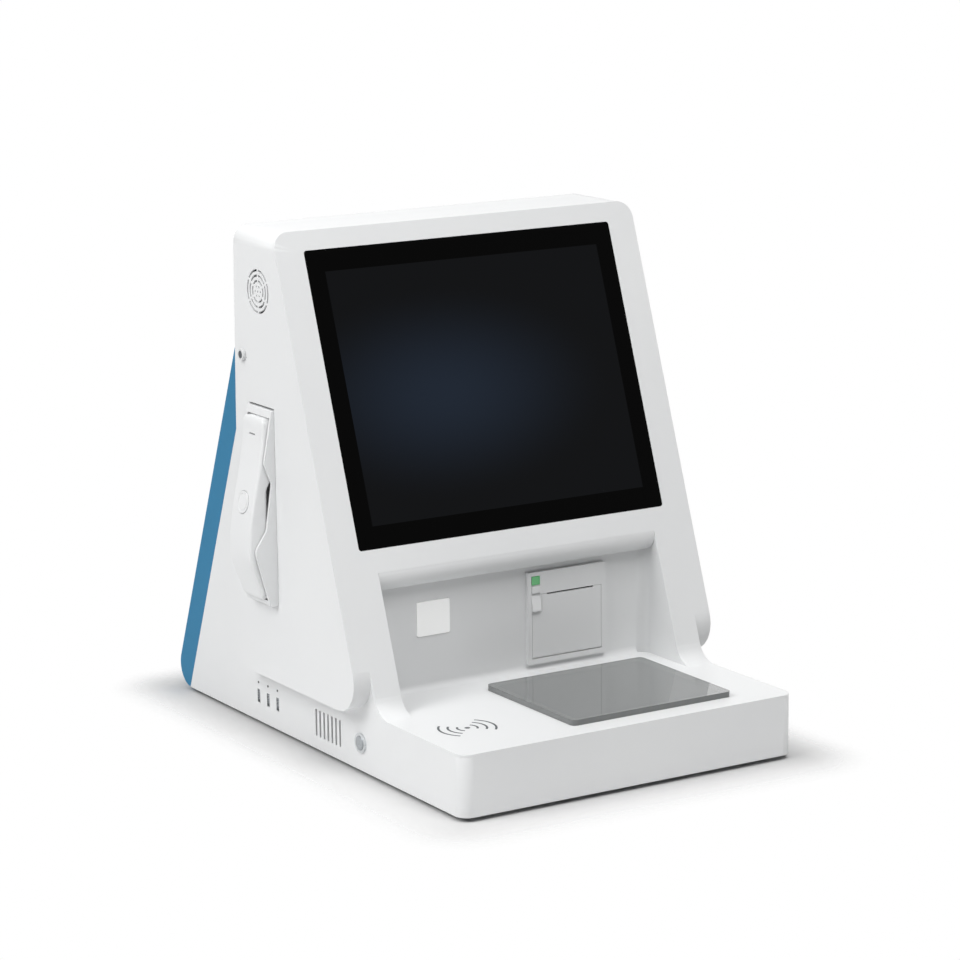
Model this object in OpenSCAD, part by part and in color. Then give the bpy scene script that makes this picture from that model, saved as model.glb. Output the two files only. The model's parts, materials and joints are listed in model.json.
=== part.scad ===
// Countertop visitor kiosk. A wedge-shaped housing carries a leaning touch screen. Below it a
// front deck holds a document window and a card zone, an alcove holds a code window and a ticket
// printer, and a handset hangs on the left cheek. A slanted cover closes the rear.
// Axes: X across, Y from front to rear, Z up. Pieces are drawn from the middle of the front
// edge of the underside, and kiosk() moves them so that the object's box stands over the origin.

/* [Lower body] */
// Width of the lower body
base_w = 407; // [400:1:430]
// Height of the deck above the underside
deck_h = 65; // [62:1:72]
// Radius of the upright corners at the front
base_corner_r = 14; // [8:1:24]
// Thickness of the moulded walls
wall = 3; // [2:0.5:4]
// Thickness of the steel bottom plate
plate_t = 2; // [1.5:0.5:2.5]
// Height of the rubber feet
foot_h = 5; // [4:0.5:10]
// Radius of the rubber feet
foot_r = 14; // [8:1:18]
// Radius of the screw bosses under the side walls
boss_r = 5; // [4.5:0.5:7]
// Radius of the screws that hold the bottom plate
screw_r = 2; // [1.5:0.25:2.5]

/* [Head] */
// Thickness of each cheek outside the lower body
cheek_t = 20; // [18:1:26]
// Lean of the front face from upright
fascia_lean = 19.3; // [17:0.1:21]
// Distance from the front wall to the foot of the front face's line
fascia_foot = 140.7; // [134:0.1:146]
// Thickness of the front face
fascia_t = 4; // [3:0.5:5]
// Depth of the head along the underside, from the front face's line to the upright rear wall
head_d = 276.3; // [268:0.1:288]
// Distance from the upright rear wall to the underside's rear edge
rear_step = 173; // [166:1:182]
// Radius along the top edges
head_edge_r = 18; // [8:1:20]
// Radius of the cheeks' lower front corner
cheek_front_r = 35; // [25:1:45]
// How far the cheeks' rear edge drifts back on its way down
cheek_drift = 11; // [0:1:14]
// Radius of the cheeks' lower rear corner
cheek_rear_r = 18; // [8:1:30]

/* [Rear cover] */
// Lean of the rear cover from upright
rear_lean = 22.1; // [21:0.1:23]
// Thickness of the rear cover, square to its face
door_t = 33; // [28:1:36]
// Gap between the rear cover and what it closes on
door_gap = 0.5; // [0.3:0.1:1]
// Distance of the cover's hinge axis behind the underside's rear edge
hinge_back = 8; // [8:0.5:9]
// Height of the cover's hinge axis
hinge_z = 7; // [6.5:0.5:7.5]
// Radius of the hinge knuckles
knuckle_r = 4.2; // [3.5:0.1:4.4]
// Radius of the hinge pins
pin_r = 2; // [1.5:0.25:2.5]
// Length of each hinge, along its pin
hinge_w = 24; // [18:1:40]
// Distance of each hinge from the middle
hinge_x = 140; // [90:5:160]

/* [Screen] */
// Distance from the touch glass to the head's side
glass_side = 34; // [32:1:38]
// Height of the touch glass along the slope
glass_h = 317; // [310:1:322]
// Distance of the glass's lower edge up the slope
glass_s = 241; // [238:1:246]
// Distance from the touch glass's upper edge to the head's top, along the slope
head_top = 21.6; // [20:0.1:26]
// Thickness of the touch glass
glass_t = 4; // [3:0.5:5]
// Corner radius of the touch glass
glass_r = 3; // [1:0.5:8]
// Gap round the touch glass
glass_gap = 0.4; // [0.2:0.1:0.8]
// Border of the touch glass outside the display module
glass_border = 10; // [8:1:16]
// Thickness of the display module
lcd_t = 14; // [10:1:18]
// Thickness of the steel frame behind the glass
frame_t = 1.5; // [1:0.5:3]

/* [Alcove] */
// Width of each pillar, in from the lower body's side
pillar_w = 31; // [27:1:34]
// Distance from the front face's foot to the alcove's back wall
alcove_d = 89.3; // [87:0.1:93]
// Distance from the touch glass down to where the lip starts to roll
lip_drop = 25; // [21:1:29]
// Radius of the rolled lip
lip_r = 17; // [14:0.5:18]
// Radius of the pillars' flared feet
flare_r = 28; // [15:1:34]
// Radius of the alcove's upright inner corners
alcove_r = 12; // [6:1:20]
// Radius between the deck and the alcove's back wall
deck_fillet_r = 8; // [4:0.5:8]

/* [Document window and card zone] */
// Width of the smoked window plate
scan_w = 198; // [190:1:204]
// Depth of the smoked window plate
scan_d = 167; // [160:1:176]
// Thickness of the smoked window plate
scan_t = 6; // [4:0.5:8]
// Middle of the window plate, across
scan_x = 44; // [40:1:50]
// Distance from the front wall to the window plate
scan_y = 27; // [20:1:32]
// Corner radius of the window plate
scan_r = 6; // [3:0.5:12]
// Width of the plate's border that rests on the deck
scan_rim = 9; // [6:0.5:14]
// Distance from the left side to the middle of the card zone
card_inset = 57.5; // [53:0.5:62]
// Middle of the card zone, from the front wall
card_y = 83; // [75:1:95]

/* [Code window] */
// Width of the code window
code_w = 40; // [34:1:46]
// Height of the code window
code_h = 37; // [32:1:42]
// Middle of the code window, across
code_x = -97; // [-105:1:-90]
// Middle of the code window, above the underside
code_z = 142; // [136:1:148]
// How far the code window stands proud of the wall
code_proud = 1; // [0.5:0.5:2]

/* [Ticket printer] */
// Width of the printer's bezel
bezel_w = 100; // [98:1:104]
// Height of the printer's bezel
bezel_h = 101; // [100:1:103]
// Thickness of the bezel in front of the alcove's wall
bezel_t = 5; // [5:0.5:7]
// Left edge of the bezel, across
bezel_x = 17.7; // [12:0.1:24]
// Lower edge of the bezel, above the deck
bezel_lift = 8.2; // [8:0.1:10]
// Radius of the bezel's corners
bezel_r = 2; // [1:0.5:4]
// Width of the strips beside the printer's door
bezel_strip = 5.6; // [5:0.1:7]
// Height of the fixed part above the paper slot
bezel_head = 24.3; // [23:0.1:26]
// Width of the panel that carries the keys
key_panel_w = 18; // [17:0.5:20]
// Height of the panel that carries the keys
key_panel_h = 43.5; // [43:0.5:48]
// Length of the paper slot
slot_w = 59.5; // [57:0.5:62]
// Height of the paper slot
slot_h = 1.8; // [1.2:0.1:2.4]
// Thickness of the printer's door
printer_door_t = 3; // [2:0.5:4]
// Radius of the printer door's rolled hinge edge
printer_hinge_r = 2.5; // [2.2:0.1:2.5]
// Radius of the platen roller
platen_r = 4.5; // [4:0.25:5]
// Radius of a full paper roll
roll_r = 20; // [16:0.5:21]
// Radius of the paper roll's core
core_r = 6; // [4:0.5:8]

/* [Handset] */
// How far the handset reaches out of the cheek
handset_out = 31; // [29:0.5:34]
// Width of the handset
handset_w = 46; // [42:1:48]
// Length of the handset
handset_len = 194; // [190:1:198]
// Height of the handset's lower end
handset_z = 157; // [150:1:165]
// Distance from the rear wall to the middle of the handset
handset_inset = 54; // [47:1:62]
// Depth of the arch behind the grip
arch_d = 14; // [8:0.5:16]
// Radius of the talk button
talk_r = 12; // [9:0.5:13]
// Travel of the talk button
talk_travel = 1.5; // [1:0.25:2]
// Wall of the cradle
cradle_wall = 3; // [2:0.5:4]
// Thickness of the cradle's floor
cradle_floor = 2.5; // [2:0.5:3]
// Depth of the cradle's floor behind the cheek's face
cradle_sink = 13; // [10:0.5:14]
// Open slit between the cradle's top and the cheek
cradle_slit = 2; // [1:0.5:3]

/* [Left cheek] */
// Width of the square fan frame
fan_w = 50; // [48:1:52]
// Depth of the fan frame
fan_t = 10; // [9:0.5:12]
// How far the fan's axis lies in front of the cheek's middle
fan_shift = 2.7; // [0:0.1:5]
// Distance from the head's top down to the fan's axis
fan_drop = 64.5; // [58:0.5:72]
// Number of fan blades
fan_blades = 7; // [5:1:9]
// Radius of the round grille
grille_r = 23.5; // [20:0.5:23.5]
// Radius of the lock's barrel
lock_r = 5.5; // [5:0.25:7]
// How far the lock stands out of the cheek
lock_out = 4; // [2:0.5:6]
// Distance from the rear wall to the lock's axis
lock_inset = 16; // [15:1:18]
// Distance of the lock's axis below the rear wall's lower edge
lock_drop = 15; // [13:1:18]

/* [Ports and power] */
// Middle of the row of sockets, from the front wall
usb_y = 402.8; // [395:0.1:410]
// Distance between sockets
usb_pitch = 21.5; // [18:0.5:24]
// Middle of the sockets, above the underside
usb_z = 28.2; // [26:0.1:32]
// Height of the lamps above the middle of the sockets
lamp_rise = 15.4; // [12:0.1:17]
// Radius of the lamps above the sockets
lamp_r = 1.25; // [0.8:0.05:2]
// Number of vent slots in each side wall
vent_count = 7; // [4:1:8]
// Distance between vent slots
vent_pitch = 8.5; // [7:0.5:9]
// Width of a vent slot
vent_w = 3.6; // [2.5:0.1:4.5]
// Height of a vent slot
vent_h = 29.3; // [20:0.1:34]
// Middle of the vent slots, from the front wall
vent_y = 270; // [260:1:276]
// Middle of the vent slots, above the underside
vent_z = 29; // [26:1:34]
// Radius of the power switch's flange
power_r = 10.5; // [9:0.5:12]
// Power switch axis, from the front wall
power_y = 200; // [190:1:210]
// Power switch axis, above the underside
power_z = 30; // [26:1:34]
// Travel of the power button
power_travel = 2; // [1:0.25:3]
// Distance from the underside's rear edge to the middle of the mains inlet
inlet_back = 120; // [100:1:140]
// Middle of the mains inlet, above the underside
inlet_z = 30; // [26:1:36]

/* [Hidden] */
$fn = 64;
eps = 0.02;
corner_back = 1;
tangent_slack = 0.002;

white_abs = "#F3F4F4";
cover_blue = "#3F87B0";
black_glass = "#0B0C0E";
smoked_glass = "#8C9091";
steel = "#B9BDC0";
dark_steel = "#6A6E72";
dark_plastic = "#26282B";
board_green = "#1F6B48";
lamp_green = "#23B04A";
paper_white = "#FAFAF6";
rubber_black = "#1A1A1A";

// Clearances: between a fixed piece and its seat, round a sliding key, round a turning shaft
seat_gap = 0.3;
slide_gap = 0.3;
run_gap = 0.05;

// Widths and planes that several pieces share
head_w = base_w + 2 * cheek_t;
head_h = (glass_s + glass_h + head_top) * cos(fascia_lean);
rear_y = fascia_foot + head_d;
base_d = rear_y + rear_step;
cheek_z = deck_h;
glass_w = head_w - 2 * glass_side;
lcd_w = glass_w - 2 * glass_border;
lcd_h = glass_h - 2 * glass_border;
alcove_w = base_w - 2 * pillar_w;
alcove_y = fascia_foot + alcove_d;
lip_s = glass_s - lip_drop;
card_x = card_inset - base_w / 2;
handset_y = rear_y - handset_inset;
inlet_y = base_d - inlet_back;
tray_h = deck_h - wall;
inner_w = base_w - 2 * wall;
fascia_up = [sin(fascia_lean), cos(fascia_lean)];
fascia_out = [-cos(fascia_lean), sin(fascia_lean)];
fin_top = (base_d - rear_y) / tan(rear_lean);
door_flat = door_t / cos(rear_lean);
door_foot_r = door_flat * tan(45 - rear_lean / 2);
door_top = (base_d + door_flat - rear_y) / tan(rear_lean);
lock_y = rear_y - lock_inset;
lock_z = fin_top - lock_drop;
hinge_at = [base_d + hinge_back, hinge_z];
depth = base_d + door_foot_r;

// Points (y, z) on the front face, a distance s up the slope and d behind the face
function on_face(s, d = 0) = [fascia_foot, 0] + s * fascia_up - d * fascia_out;
// The front face's y at a height, a distance d behind the face
function fascia_at(z, d = 0) = fascia_foot + z * tan(fascia_lean) + d / cos(fascia_lean);
// The rear opening's y at a height, a distance d in front of it, square to its slope
function rear_at(z, d = 0) = base_d - z * tan(rear_lean) - d / cos(rear_lean);

// Fan axis: near the middle between the front face and the rear wall
fan_z = head_h - fan_drop;
fan_y = (fascia_at(fan_z + fan_w / 2) + rear_y) / 2 - fan_shift;

function unit(v) = v / norm(v);
function left_of(v) = [-v[1], v[0]];
function cross2(a, b) = a[0] * b[1] - a[1] * b[0];
function area(pts) = let(n = len(pts)) [for (i = 0, a = 0; i <= n; a = a + (i < n ? cross2(pts[i],
    pts[(i + 1) % n]) : 0), i = i + 1) a][n];

// A counter-clockwise outline moved inwards by d on every side
function inset(pts, d) = let(n = len(pts)) [
    for (i = [0 : n - 1]) let(
        a = left_of(unit(pts[i] - pts[(i + n - 1) % n])),
        b = left_of(unit(pts[(i + 1) % n] - pts[i])))
    pts[i] + (a + b) * d / (1 + a * b)
];

// What a round of radius r takes off a corner p between a and b, or fills into it
module corner(a, p, b, r) {
    u = unit(a - p);
    v = unit(b - p);
    half = acos(u * v) / 2;
    reach = r / tan(half);
    centre = p + unit(u + v) * r / sin(half);
    difference() {
        polygon([p - corner_back * (u + v), p + u * reach, centre, p + v * reach]);
        translate(centre) circle(r + tangent_slack);
    }
}

// An outline whose corners have true rounds; a radius of 0 keeps a corner sharp
module rounded_poly(pts, radii) {
    n = len(pts);
    way = sign(area(pts));
    turns = [for (i = [0 : n - 1]) way * cross2(pts[i] - pts[(i + n - 1) % n], pts[(i + 1) % n] - pts[i])];
    difference() {
        union() {
            polygon(pts);
            for (i = [0 : n - 1])
                if (radii[i] > 0 && turns[i] < 0)
                    corner(pts[(i + n - 1) % n], pts[i], pts[(i + 1) % n], radii[i]);
        }
        for (i = [0 : n - 1])
            if (radii[i] > 0 && turns[i] > 0)
                corner(pts[(i + n - 1) % n], pts[i], pts[(i + 1) % n], radii[i]);
    }
}

// A rectangle about the origin with rounded corners
module rounded_rect(w, h, r) {
    rounded_poly([[-w / 2, -h / 2], [w / 2, -h / 2], [w / 2, h / 2], [-w / 2, h / 2]], [r, r, r, r]);
}

// Moves the drawing frame so that the object's box stands over the origin
module kiosk() translate([handset_out / 2, -depth / 2, foot_h]) children();
// A (y, z) outline carried across by w, about the middle
module along_x(w) rotate([90, 0, 90]) linear_extrude(w, center = true) children();
// An (x, z) outline carried from y0 to y1
module along_y(y0, y1) translate([0, y1, 0]) rotate([90, 0, 0]) linear_extrude(y1 - y0) children();
// The slanted front face: x across, y up the slope, z out of the face
module on_fascia() translate([0, fascia_foot, 0]) rotate([90 - fascia_lean, 0, 0]) children();
// A rod along X from x0 to x1 at (y, z)
module rod(x0, x1, yz, r) translate([x0, yz[0], yz[1]]) rotate([0, 90, 0]) cylinder(h = x1 - x0, r = r);
// A box between two corners
module block(a, b) translate(a) cube(b - a);

// Lower body: walls, fins behind the cheeks, bottom plate, feet and screws
boss_spots = [for (y = [30, 330, base_d - 45], side = [-1, 1]) [side * (inner_w / 2 - boss_r + 1), y]];
boss_h = 24;
foot_inset = [40, 46];
fin_knee = cheek_z + cheek_front_r;
fin_y = fascia_at(deck_h, fascia_t + seat_gap);

module base_plan(d) {
    r = base_corner_r - d;
    w = base_w / 2 - d;
    rounded_poly([[-w, d], [w, d], [w, base_d], [-w, base_d]], [r, r, 0, 0]);
}

module body_side() polygon([
    [0, 0], [base_d, 0], [rear_y, fin_top],
    [fascia_at(fin_knee, fascia_t + seat_gap), fin_knee], [fin_y, deck_h], [fin_y, tray_h], [0, tray_h]
]);

module vent_slots() for (side = [-1, 1], i = [0 : vent_count - 1])
    translate([side * (base_w - wall) / 2, vent_y + (i - (vent_count - 1) / 2) * vent_pitch, vent_z])
        cube([3 * wall, vent_w, vent_h], center = true);

module usb_spots() for (i = [-1 : 1]) translate([-base_w / 2, usb_y + i * usb_pitch, usb_z]) children();

module base_tray() color(white_abs) kiosk() difference() {
    union() {
        difference() {
            intersection() {
                along_x(base_w) body_side();
                linear_extrude(head_h) base_plan(0);
            }
            translate([0, 0, -eps]) linear_extrude(head_h) union() {
                base_plan(wall);
                translate([0, base_d]) square([inner_w, 2 * wall], center = true);
            }
        }
        for (p = boss_spots) translate([p[0], p[1], plate_t]) cylinder(h = boss_h - plate_t, r = boss_r);
    }
    for (p = boss_spots) translate([p[0], p[1], 0]) cylinder(h = boss_h - wall, r = screw_r + run_gap);
    vent_slots();
    usb_spots() {
        cube([3 * wall, usb_shell[0] + 2 * seat_gap, usb_shell[1] + 2 * seat_gap], center = true);
    }
    usb_spots() translate([-wall, 0, lamp_rise]) rotate([0, 90, 0])
        cylinder(h = 3 * wall, r = lamp_r + run_gap);
    rod(-base_w / 2 - wall, -base_w / 2 + 2 * wall, [power_y, power_z], power_neck_r + run_gap);
    rod(-base_w / 2 - wall, -base_w / 2 + 2 * wall, [lock_y, lock_z], lock_r + 2 * wall);
    translate([(base_w - wall) / 2, inlet_y, inlet_z])
        cube([3 * wall, inlet_body[0] + 2 * seat_gap, inlet_body[1] + 2 * seat_gap], center = true);
}

module bottom_plate() color(steel) kiosk() difference() {
    linear_extrude(plate_t) difference() {
        base_plan(wall + seat_gap);
        translate([0, base_d]) square([base_w, 2 * plate_back], center = true);
    }
    for (p = boss_spots) translate([p[0], p[1], -eps]) cylinder(h = 2 * plate_t, r = screw_r + seat_gap);
    for (i = [-4 : 4]) translate([i * 16, base_d * 0.44, 0]) cube([5, 60, 4 * plate_t], center = true);
}
plate_back = 10;

module rubber_feet() color(rubber_black) kiosk()
    for (x = [-1, 1], y = [foot_inset[1], base_d - foot_inset[1] - plate_back])
        translate([x * (base_w / 2 - foot_inset[0]), y, -foot_h]) cylinder(h = foot_h, r = foot_r);

module base_screws() color(steel) kiosk() for (p = boss_spots) translate([p[0], p[1], 0]) {
    translate([0, 0, -screw_r]) cylinder(h = screw_r, r = 1.8 * screw_r);
    cylinder(h = boss_h - 2 * wall, r = screw_r);
}

// Front cover: deck, pillars, screen surround and rolled lip in one moulding
cheek_reach = cheek_front_r / tan(45 - fascia_lean / 2);
cheek_s = cheek_z / cos(fascia_lean) + cheek_reach + wall;
lip_step = 0.05;
lip_centre = on_face(lip_s, lip_r + lip_step);
lip_start = 180 - fascia_lean;
over_top = head_h + 10;

module head_envelope(d) along_y(0, base_d) {
    w = head_w / 2 - d;
    r = head_edge_r - d;
    rounded_poly([[-w, 0], [w, 0], [w, head_h - d], [-w, head_h - d]], [0, 0, r, r]);
}

// Deck, flared foot and front face in one fold, before the alcove is cut out of it
module cover_section() rounded_poly([
    [0, tray_h], [alcove_y + wall, tray_h], [alcove_y + wall, deck_h], [fascia_at(deck_h, fascia_t), deck_h],
    [fascia_at(over_top, fascia_t), over_top], [fascia_at(over_top), over_top],
    [fascia_at(deck_h), deck_h], [0, deck_h]
], [0, 0, 0, 0, 0, 0, flare_r, 0]);

// Outside the lower body the front face starts where the cheek's rounded corner ends
module below_wings() for (side = [-1, 1]) on_fascia()
    translate([side * (base_w / 2 + cheek_t) - cheek_t, cheek_s - over_top, -over_top])
        cube([2 * cheek_t, over_top, 2 * over_top]);

// The alcove's opening, from the deck up to where the lip starts
module alcove_section() polygon([
    [0, deck_h], [alcove_y + 2 * wall, deck_h], on_face(lip_s, 4 * lip_r), on_face(lip_s, -4 * lip_r)
]);

module lip_section() intersection() {
    difference() {
        translate(lip_centre) circle(lip_r);
        translate(lip_centre) circle(lip_r - wall);
    }
    translate(lip_centre) polygon(concat([[0, 0]],
        [for (a = [lip_start - 8, lip_start + 20, 230, 270]) 2 * lip_r * [cos(a), sin(a)]]));
}

module front_cover() color(white_abs) kiosk() {
    difference() {
        intersection() {
            along_x(head_w + cheek_t) cover_section();
            head_envelope(0);
        }
        below_wings();
        along_x(alcove_w) alcove_section();
        at_glass(2 * fascia_t) linear_extrude(3 * fascia_t)
            rounded_rect(glass_w + 2 * glass_gap, glass_h + 2 * glass_gap, glass_r + glass_gap);
        translate([scan_x, scan_y + scan_d / 2, tray_h - wall]) linear_extrude(3 * wall)
            rounded_rect(scan_w - 2 * scan_rim, scan_d - 2 * scan_rim, scan_r);
        for (side = [-1, 1]) translate([0, 0, tray_h - wall]) linear_extrude(3 * wall)
            corner([0, 0], [side * base_w / 2, 0], [side * base_w / 2, base_d], base_corner_r);
        for (x = [-base_w / 2 - wall, inner_w / 2 - seat_gap])
            block([x, fascia_at(deck_h, fascia_t) + seat_gap / 2, tray_h - wall],
                  [x + 2 * wall + seat_gap, alcove_y + 2 * wall, deck_h + seat_gap / 2]);
    }
    intersection() {
        along_x(alcove_w) lip_section();
        linear_extrude(head_h) alcove_outline(-seat_gap);
    }
}

// Alcove: back wall and side walls behind the pillars
module alcove_outline(d) {
    w = alcove_w / 2 + d;
    y = alcove_y + d;
    rounded_poly([[-w, 0], [w, 0], [w, y], [-w, y]], [0, 0, alcove_r, alcove_r]);
}

module alcove_liner() color(white_abs) kiosk() difference() {
    intersection() {
        union() {
            translate([0, 0, deck_h]) linear_extrude(lip_centre[1] - deck_h) difference() {
                alcove_outline(wall);
                alcove_outline(0);
            }
            along_x(alcove_w - 2 * alcove_r)
                corner([alcove_y, head_h], [alcove_y, deck_h], [0, deck_h], deck_fillet_r);
        }
        along_x(head_w) polygon([
            [fascia_at(deck_h, fascia_t), deck_h], [base_d, deck_h],
            [base_d, head_h], [fascia_at(head_h, fascia_t), head_h]
        ]);
    }
    along_y(alcove_y - wall, alcove_y + 2 * wall) {
        translate([code_x, code_z]) rounded_rect(code_w + 2 * seat_gap, code_h + 2 * seat_gap, code_r);
        translate(bezel_mid) square([sleeve_w + 2 * seat_gap, sleeve_h + 2 * seat_gap], center = true);
    }
}

// Cheeks: an outer wall with a rim, open towards the middle
cheek_pts = [
    [fascia_at(cheek_z), cheek_z], [rear_y + cheek_drift, cheek_z], [rear_y, head_h],
    [fascia_at(head_h, fascia_t), head_h], on_face(cheek_s, fascia_t), on_face(cheek_s)
];

module cheek_shell() difference() {
    intersection() {
        translate([(base_w + cheek_t) / 2, 0, 0]) along_x(cheek_t)
            rounded_poly(cheek_pts, [cheek_front_r, cheek_rear_r, 0, 0, 0, 0]);
        head_envelope(0);
    }
    intersection() {
        translate([(base_w + cheek_t) / 2 - wall, 0, 0]) along_x(cheek_t)
            rounded_poly(inset(cheek_pts, wall), [cheek_front_r - wall, cheek_rear_r - wall, 0, 0, 0, 0]);
        head_envelope(wall);
    }
}

// Round grille: three rings of arc slots between six spokes, round seven holes
grille_rings = 4;
grille_spoke = 2.4;
grille_slot = 0.42;

module grille_slots() rotate([0, 90, 0]) {
    step = grille_r / (grille_rings + grille_slot / 2);
    hole_r = grille_slot * step / 2;
    difference() {
        for (i = [2 : grille_rings]) difference() {
            cylinder(h = 3 * wall, r = i * step + hole_r, center = true);
            cylinder(h = 4 * wall, r = i * step - hole_r, center = true);
        }
        for (a = [0, 60, 120]) rotate([0, 0, a])
            cube([2 * grille_r + 2, grille_spoke, 5 * wall], center = true);
    }
    cylinder(h = 3 * wall, r = hole_r, center = true);
    for (a = [30 : 60 : 330]) rotate([0, 0, a]) translate([step, 0, 0])
        cylinder(h = 3 * wall, r = hole_r, center = true);
}

module side_cover_left() color(white_abs) kiosk() difference() {
    mirror([1, 0, 0]) cheek_shell();
    translate([-(head_w - wall) / 2, fan_y, fan_z]) grille_slots();
    block([-head_w / 2 - 1, handset_y - cradle_w / 2 - seat_gap, cradle_z - seat_gap],
          [-head_w / 2 + wall + 1, handset_y + cradle_w / 2 + seat_gap, cradle_z + cradle_len + cradle_slit]);
    rod(-head_w / 2 - wall, -head_w / 2 + 2 * wall, [lock_y, lock_z], lock_r + run_gap);
}

module side_cover_right() color(white_abs) kiosk() cheek_shell();

// Hood: top and upright rear wall in one folded piece, notched for the lock's strike
strike_x = [-inner_w / 2 + 1, -inner_w / 2 + 17];
strike_notch_h = 40;

module hood() color(white_abs) kiosk() difference() {
    along_x(base_w) polygon([
        [fascia_at(head_h, fascia_t), head_h], [fascia_at(head_h - wall, fascia_t), head_h - wall],
        [rear_y - wall, head_h - wall], [rear_y - wall, fin_top], [rear_y, fin_top], [rear_y, head_h]
    ]);
    block([strike_x[0] - 1, rear_y - 2 * wall, fin_top - 1],
          [strike_x[1] + 1, rear_y + wall, fin_top + strike_notch_h]);
}

// Rear cover: a slanted tray whose rounded foot turns about the hinge pins
tip_r = 3;

module door_side() rounded_poly([
    [rear_at(0) + door_gap, 0], [base_d + door_flat, 0],
    [rear_y + door_gap, door_top - door_gap / tan(rear_lean)], [rear_y + door_gap, fin_top]
], [tip_r, door_foot_r, 0, 0]);

module door_hollow() {
    skin = rear_y + door_gap + wall;
    rounded_poly([
        [rear_at(0, 2 * wall), wall], [rear_at(wall) + door_flat - wall / cos(rear_lean), wall],
        [skin, door_top - (door_gap + wall + wall / cos(rear_lean)) / tan(rear_lean)],
        [skin, fin_top], [rear_y - wall, fin_top]
    ], [0, door_foot_r - wall, 0, 0, 0]);
}

bracket_reach = 60;
bracket_t = 2;
bracket_y = base_d - bracket_reach;

module hinges() for (side = [-1, 1]) translate([side * hinge_x, 0, 0]) children();

module rear_door() color(cover_blue) kiosk() difference() {
    union() {
        difference() {
            along_x(base_w - 2 * door_gap) door_side();
            along_x(inner_w - 2 * door_gap) door_hollow();
            hinges() {
                block([-hinge_w / 2 - 1, base_d - plate_back, -1],
                      [hinge_w / 2 + 1, hinge_at[0] + knuckle_r, hinge_z + knuckle_r + 1]);
                rod(-hinge_w / 2 - 1, hinge_w / 2 + 1, hinge_at, knuckle_r + 2 * seat_gap);
            }
        }
        hinges() intersection() {
            union() {
                rod(-hinge_w / 6, hinge_w / 6, hinge_at, knuckle_r);
                block([-hinge_w / 6, hinge_at[0], 0], [hinge_w / 6, depth, hinge_z + knuckle_r]);
            }
            union() {
                along_x(hinge_w) door_side();
                rod(-hinge_w / 2, hinge_w / 2, hinge_at, knuckle_r);
            }
        }
    }
    hinges() rod(-hinge_w, hinge_w, hinge_at, pin_r + run_gap);
}

module hinge_brackets() color(steel) kiosk() hinges() {
    ear = hinge_w / 3 - seat_gap;
    difference() {
        union() {
            for (side = [-1, 1]) translate([side * (hinge_w - ear) / 2, 0, 0]) along_x(ear) {
                translate(hinge_at) circle(knuckle_r);
                polygon([
                    [bracket_y + bracket_t, plate_t], [base_d - plate_back - 1, plate_t],
                    hinge_at - [0, knuckle_r], hinge_at + [0, knuckle_r],
                    [bracket_y + bracket_reach / 2, plate_t + 5 * bracket_t],
                    [bracket_y + bracket_t, plate_t + bracket_t]
                ]);
            }
            block([-hinge_w / 2, bracket_y, plate_t],
                  [hinge_w / 2, bracket_y + bracket_reach / 3, plate_t + bracket_t]);
        }
        rod(-hinge_w, hinge_w, hinge_at, pin_r + run_gap);
    }
}

module hinge_pins() color(steel) kiosk() hinges() rod(-hinge_w / 2, hinge_w / 2, hinge_at, pin_r);

// Lock: the cam turns up in front of the cover's strike
cam_len = 20;
cam_w = 12;
cam_t = 2;
cam_x = -inner_w / 2 + 4;
plug_r = lock_r - 1.5;
strike_t = 2;
strike_z = lock_z + cam_len + wall;
strike_y = lock_y - cam_w / 2 - 1;

module lock_barrel() color(dark_steel) kiosk() difference() {
    union() {
        rod(-head_w / 2 - lock_out, -head_w / 2, [lock_y, lock_z], lock_r + 1);
        rod(-head_w / 2 - lock_out, -base_w / 2 + 1, [lock_y, lock_z], lock_r);
    }
    rod(-head_w, 0, [lock_y, lock_z], plug_r + run_gap);
}

module lock_plug() color(steel) kiosk() difference() {
    rod(-head_w / 2 - lock_out, cam_x, [lock_y, lock_z], plug_r);
    translate([-head_w / 2 - lock_out, lock_y, lock_z]) cube([4, 1.2, 1.3 * plug_r], center = true);
}

module lock_cam() color(steel) kiosk() translate([cam_x, lock_y, lock_z]) rotate([90, 0, 90])
    linear_extrude(cam_t) union() {
        circle(cam_w / 2);
        translate([0, -cam_w / 2]) square([cam_len, cam_w]);
    }

module door_strike() color(steel) kiosk() {
    seat = rear_y + door_gap;
    block([strike_x[0], seat - strike_t, strike_z - 6], [strike_x[1], seat, strike_z + 18]);
    block([strike_x[0], strike_y - strike_t, strike_z], [strike_x[1], seat - strike_t, strike_z + strike_t]);
    block([strike_x[0], strike_y - strike_t, lock_z + cam_w / 2 + wall], [strike_x[1], strike_y, strike_z]);
}

// Screen: touch glass in the surround, held by a steel frame that the display passes through
frame_rim = 12;

// The glass's middle on the front face, a distance d behind the face
module at_glass(d) on_fascia() translate([0, glass_s + glass_h / 2, -d]) children();

module touch_glass() color(black_glass) kiosk() at_glass(fascia_t)
    linear_extrude(glass_t) rounded_rect(glass_w, glass_h, glass_r);

module screen_frame() color(steel) kiosk() at_glass(fascia_t + frame_t)
    linear_extrude(frame_t) difference() {
        square([glass_w + 2 * frame_rim, glass_h + frame_rim], center = true);
        square([lcd_w + 2 * seat_gap, lcd_h + 2 * seat_gap], center = true);
    }

module lcd_panel() color(dark_steel) kiosk() at_glass(fascia_t + lcd_t)
    linear_extrude(lcd_t) square([lcd_w, lcd_h], center = true);

// Document window with its camera tray, and the card antenna under the deck
scan_mid = [scan_x, scan_y + scan_d / 2];
tray_wall = 2;
tray_depth = tray_h - plate_t - 6;
camera_w = 38;
camera_lens_r = 9;
antenna_size = [72, 64, 1.6];
antenna_chip = [12, 12, 1.4];

module scanner_glass() color(smoked_glass) kiosk() translate([scan_mid[0], scan_mid[1], deck_h])
    linear_extrude(scan_t) rounded_rect(scan_w, scan_d, scan_r);

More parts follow.
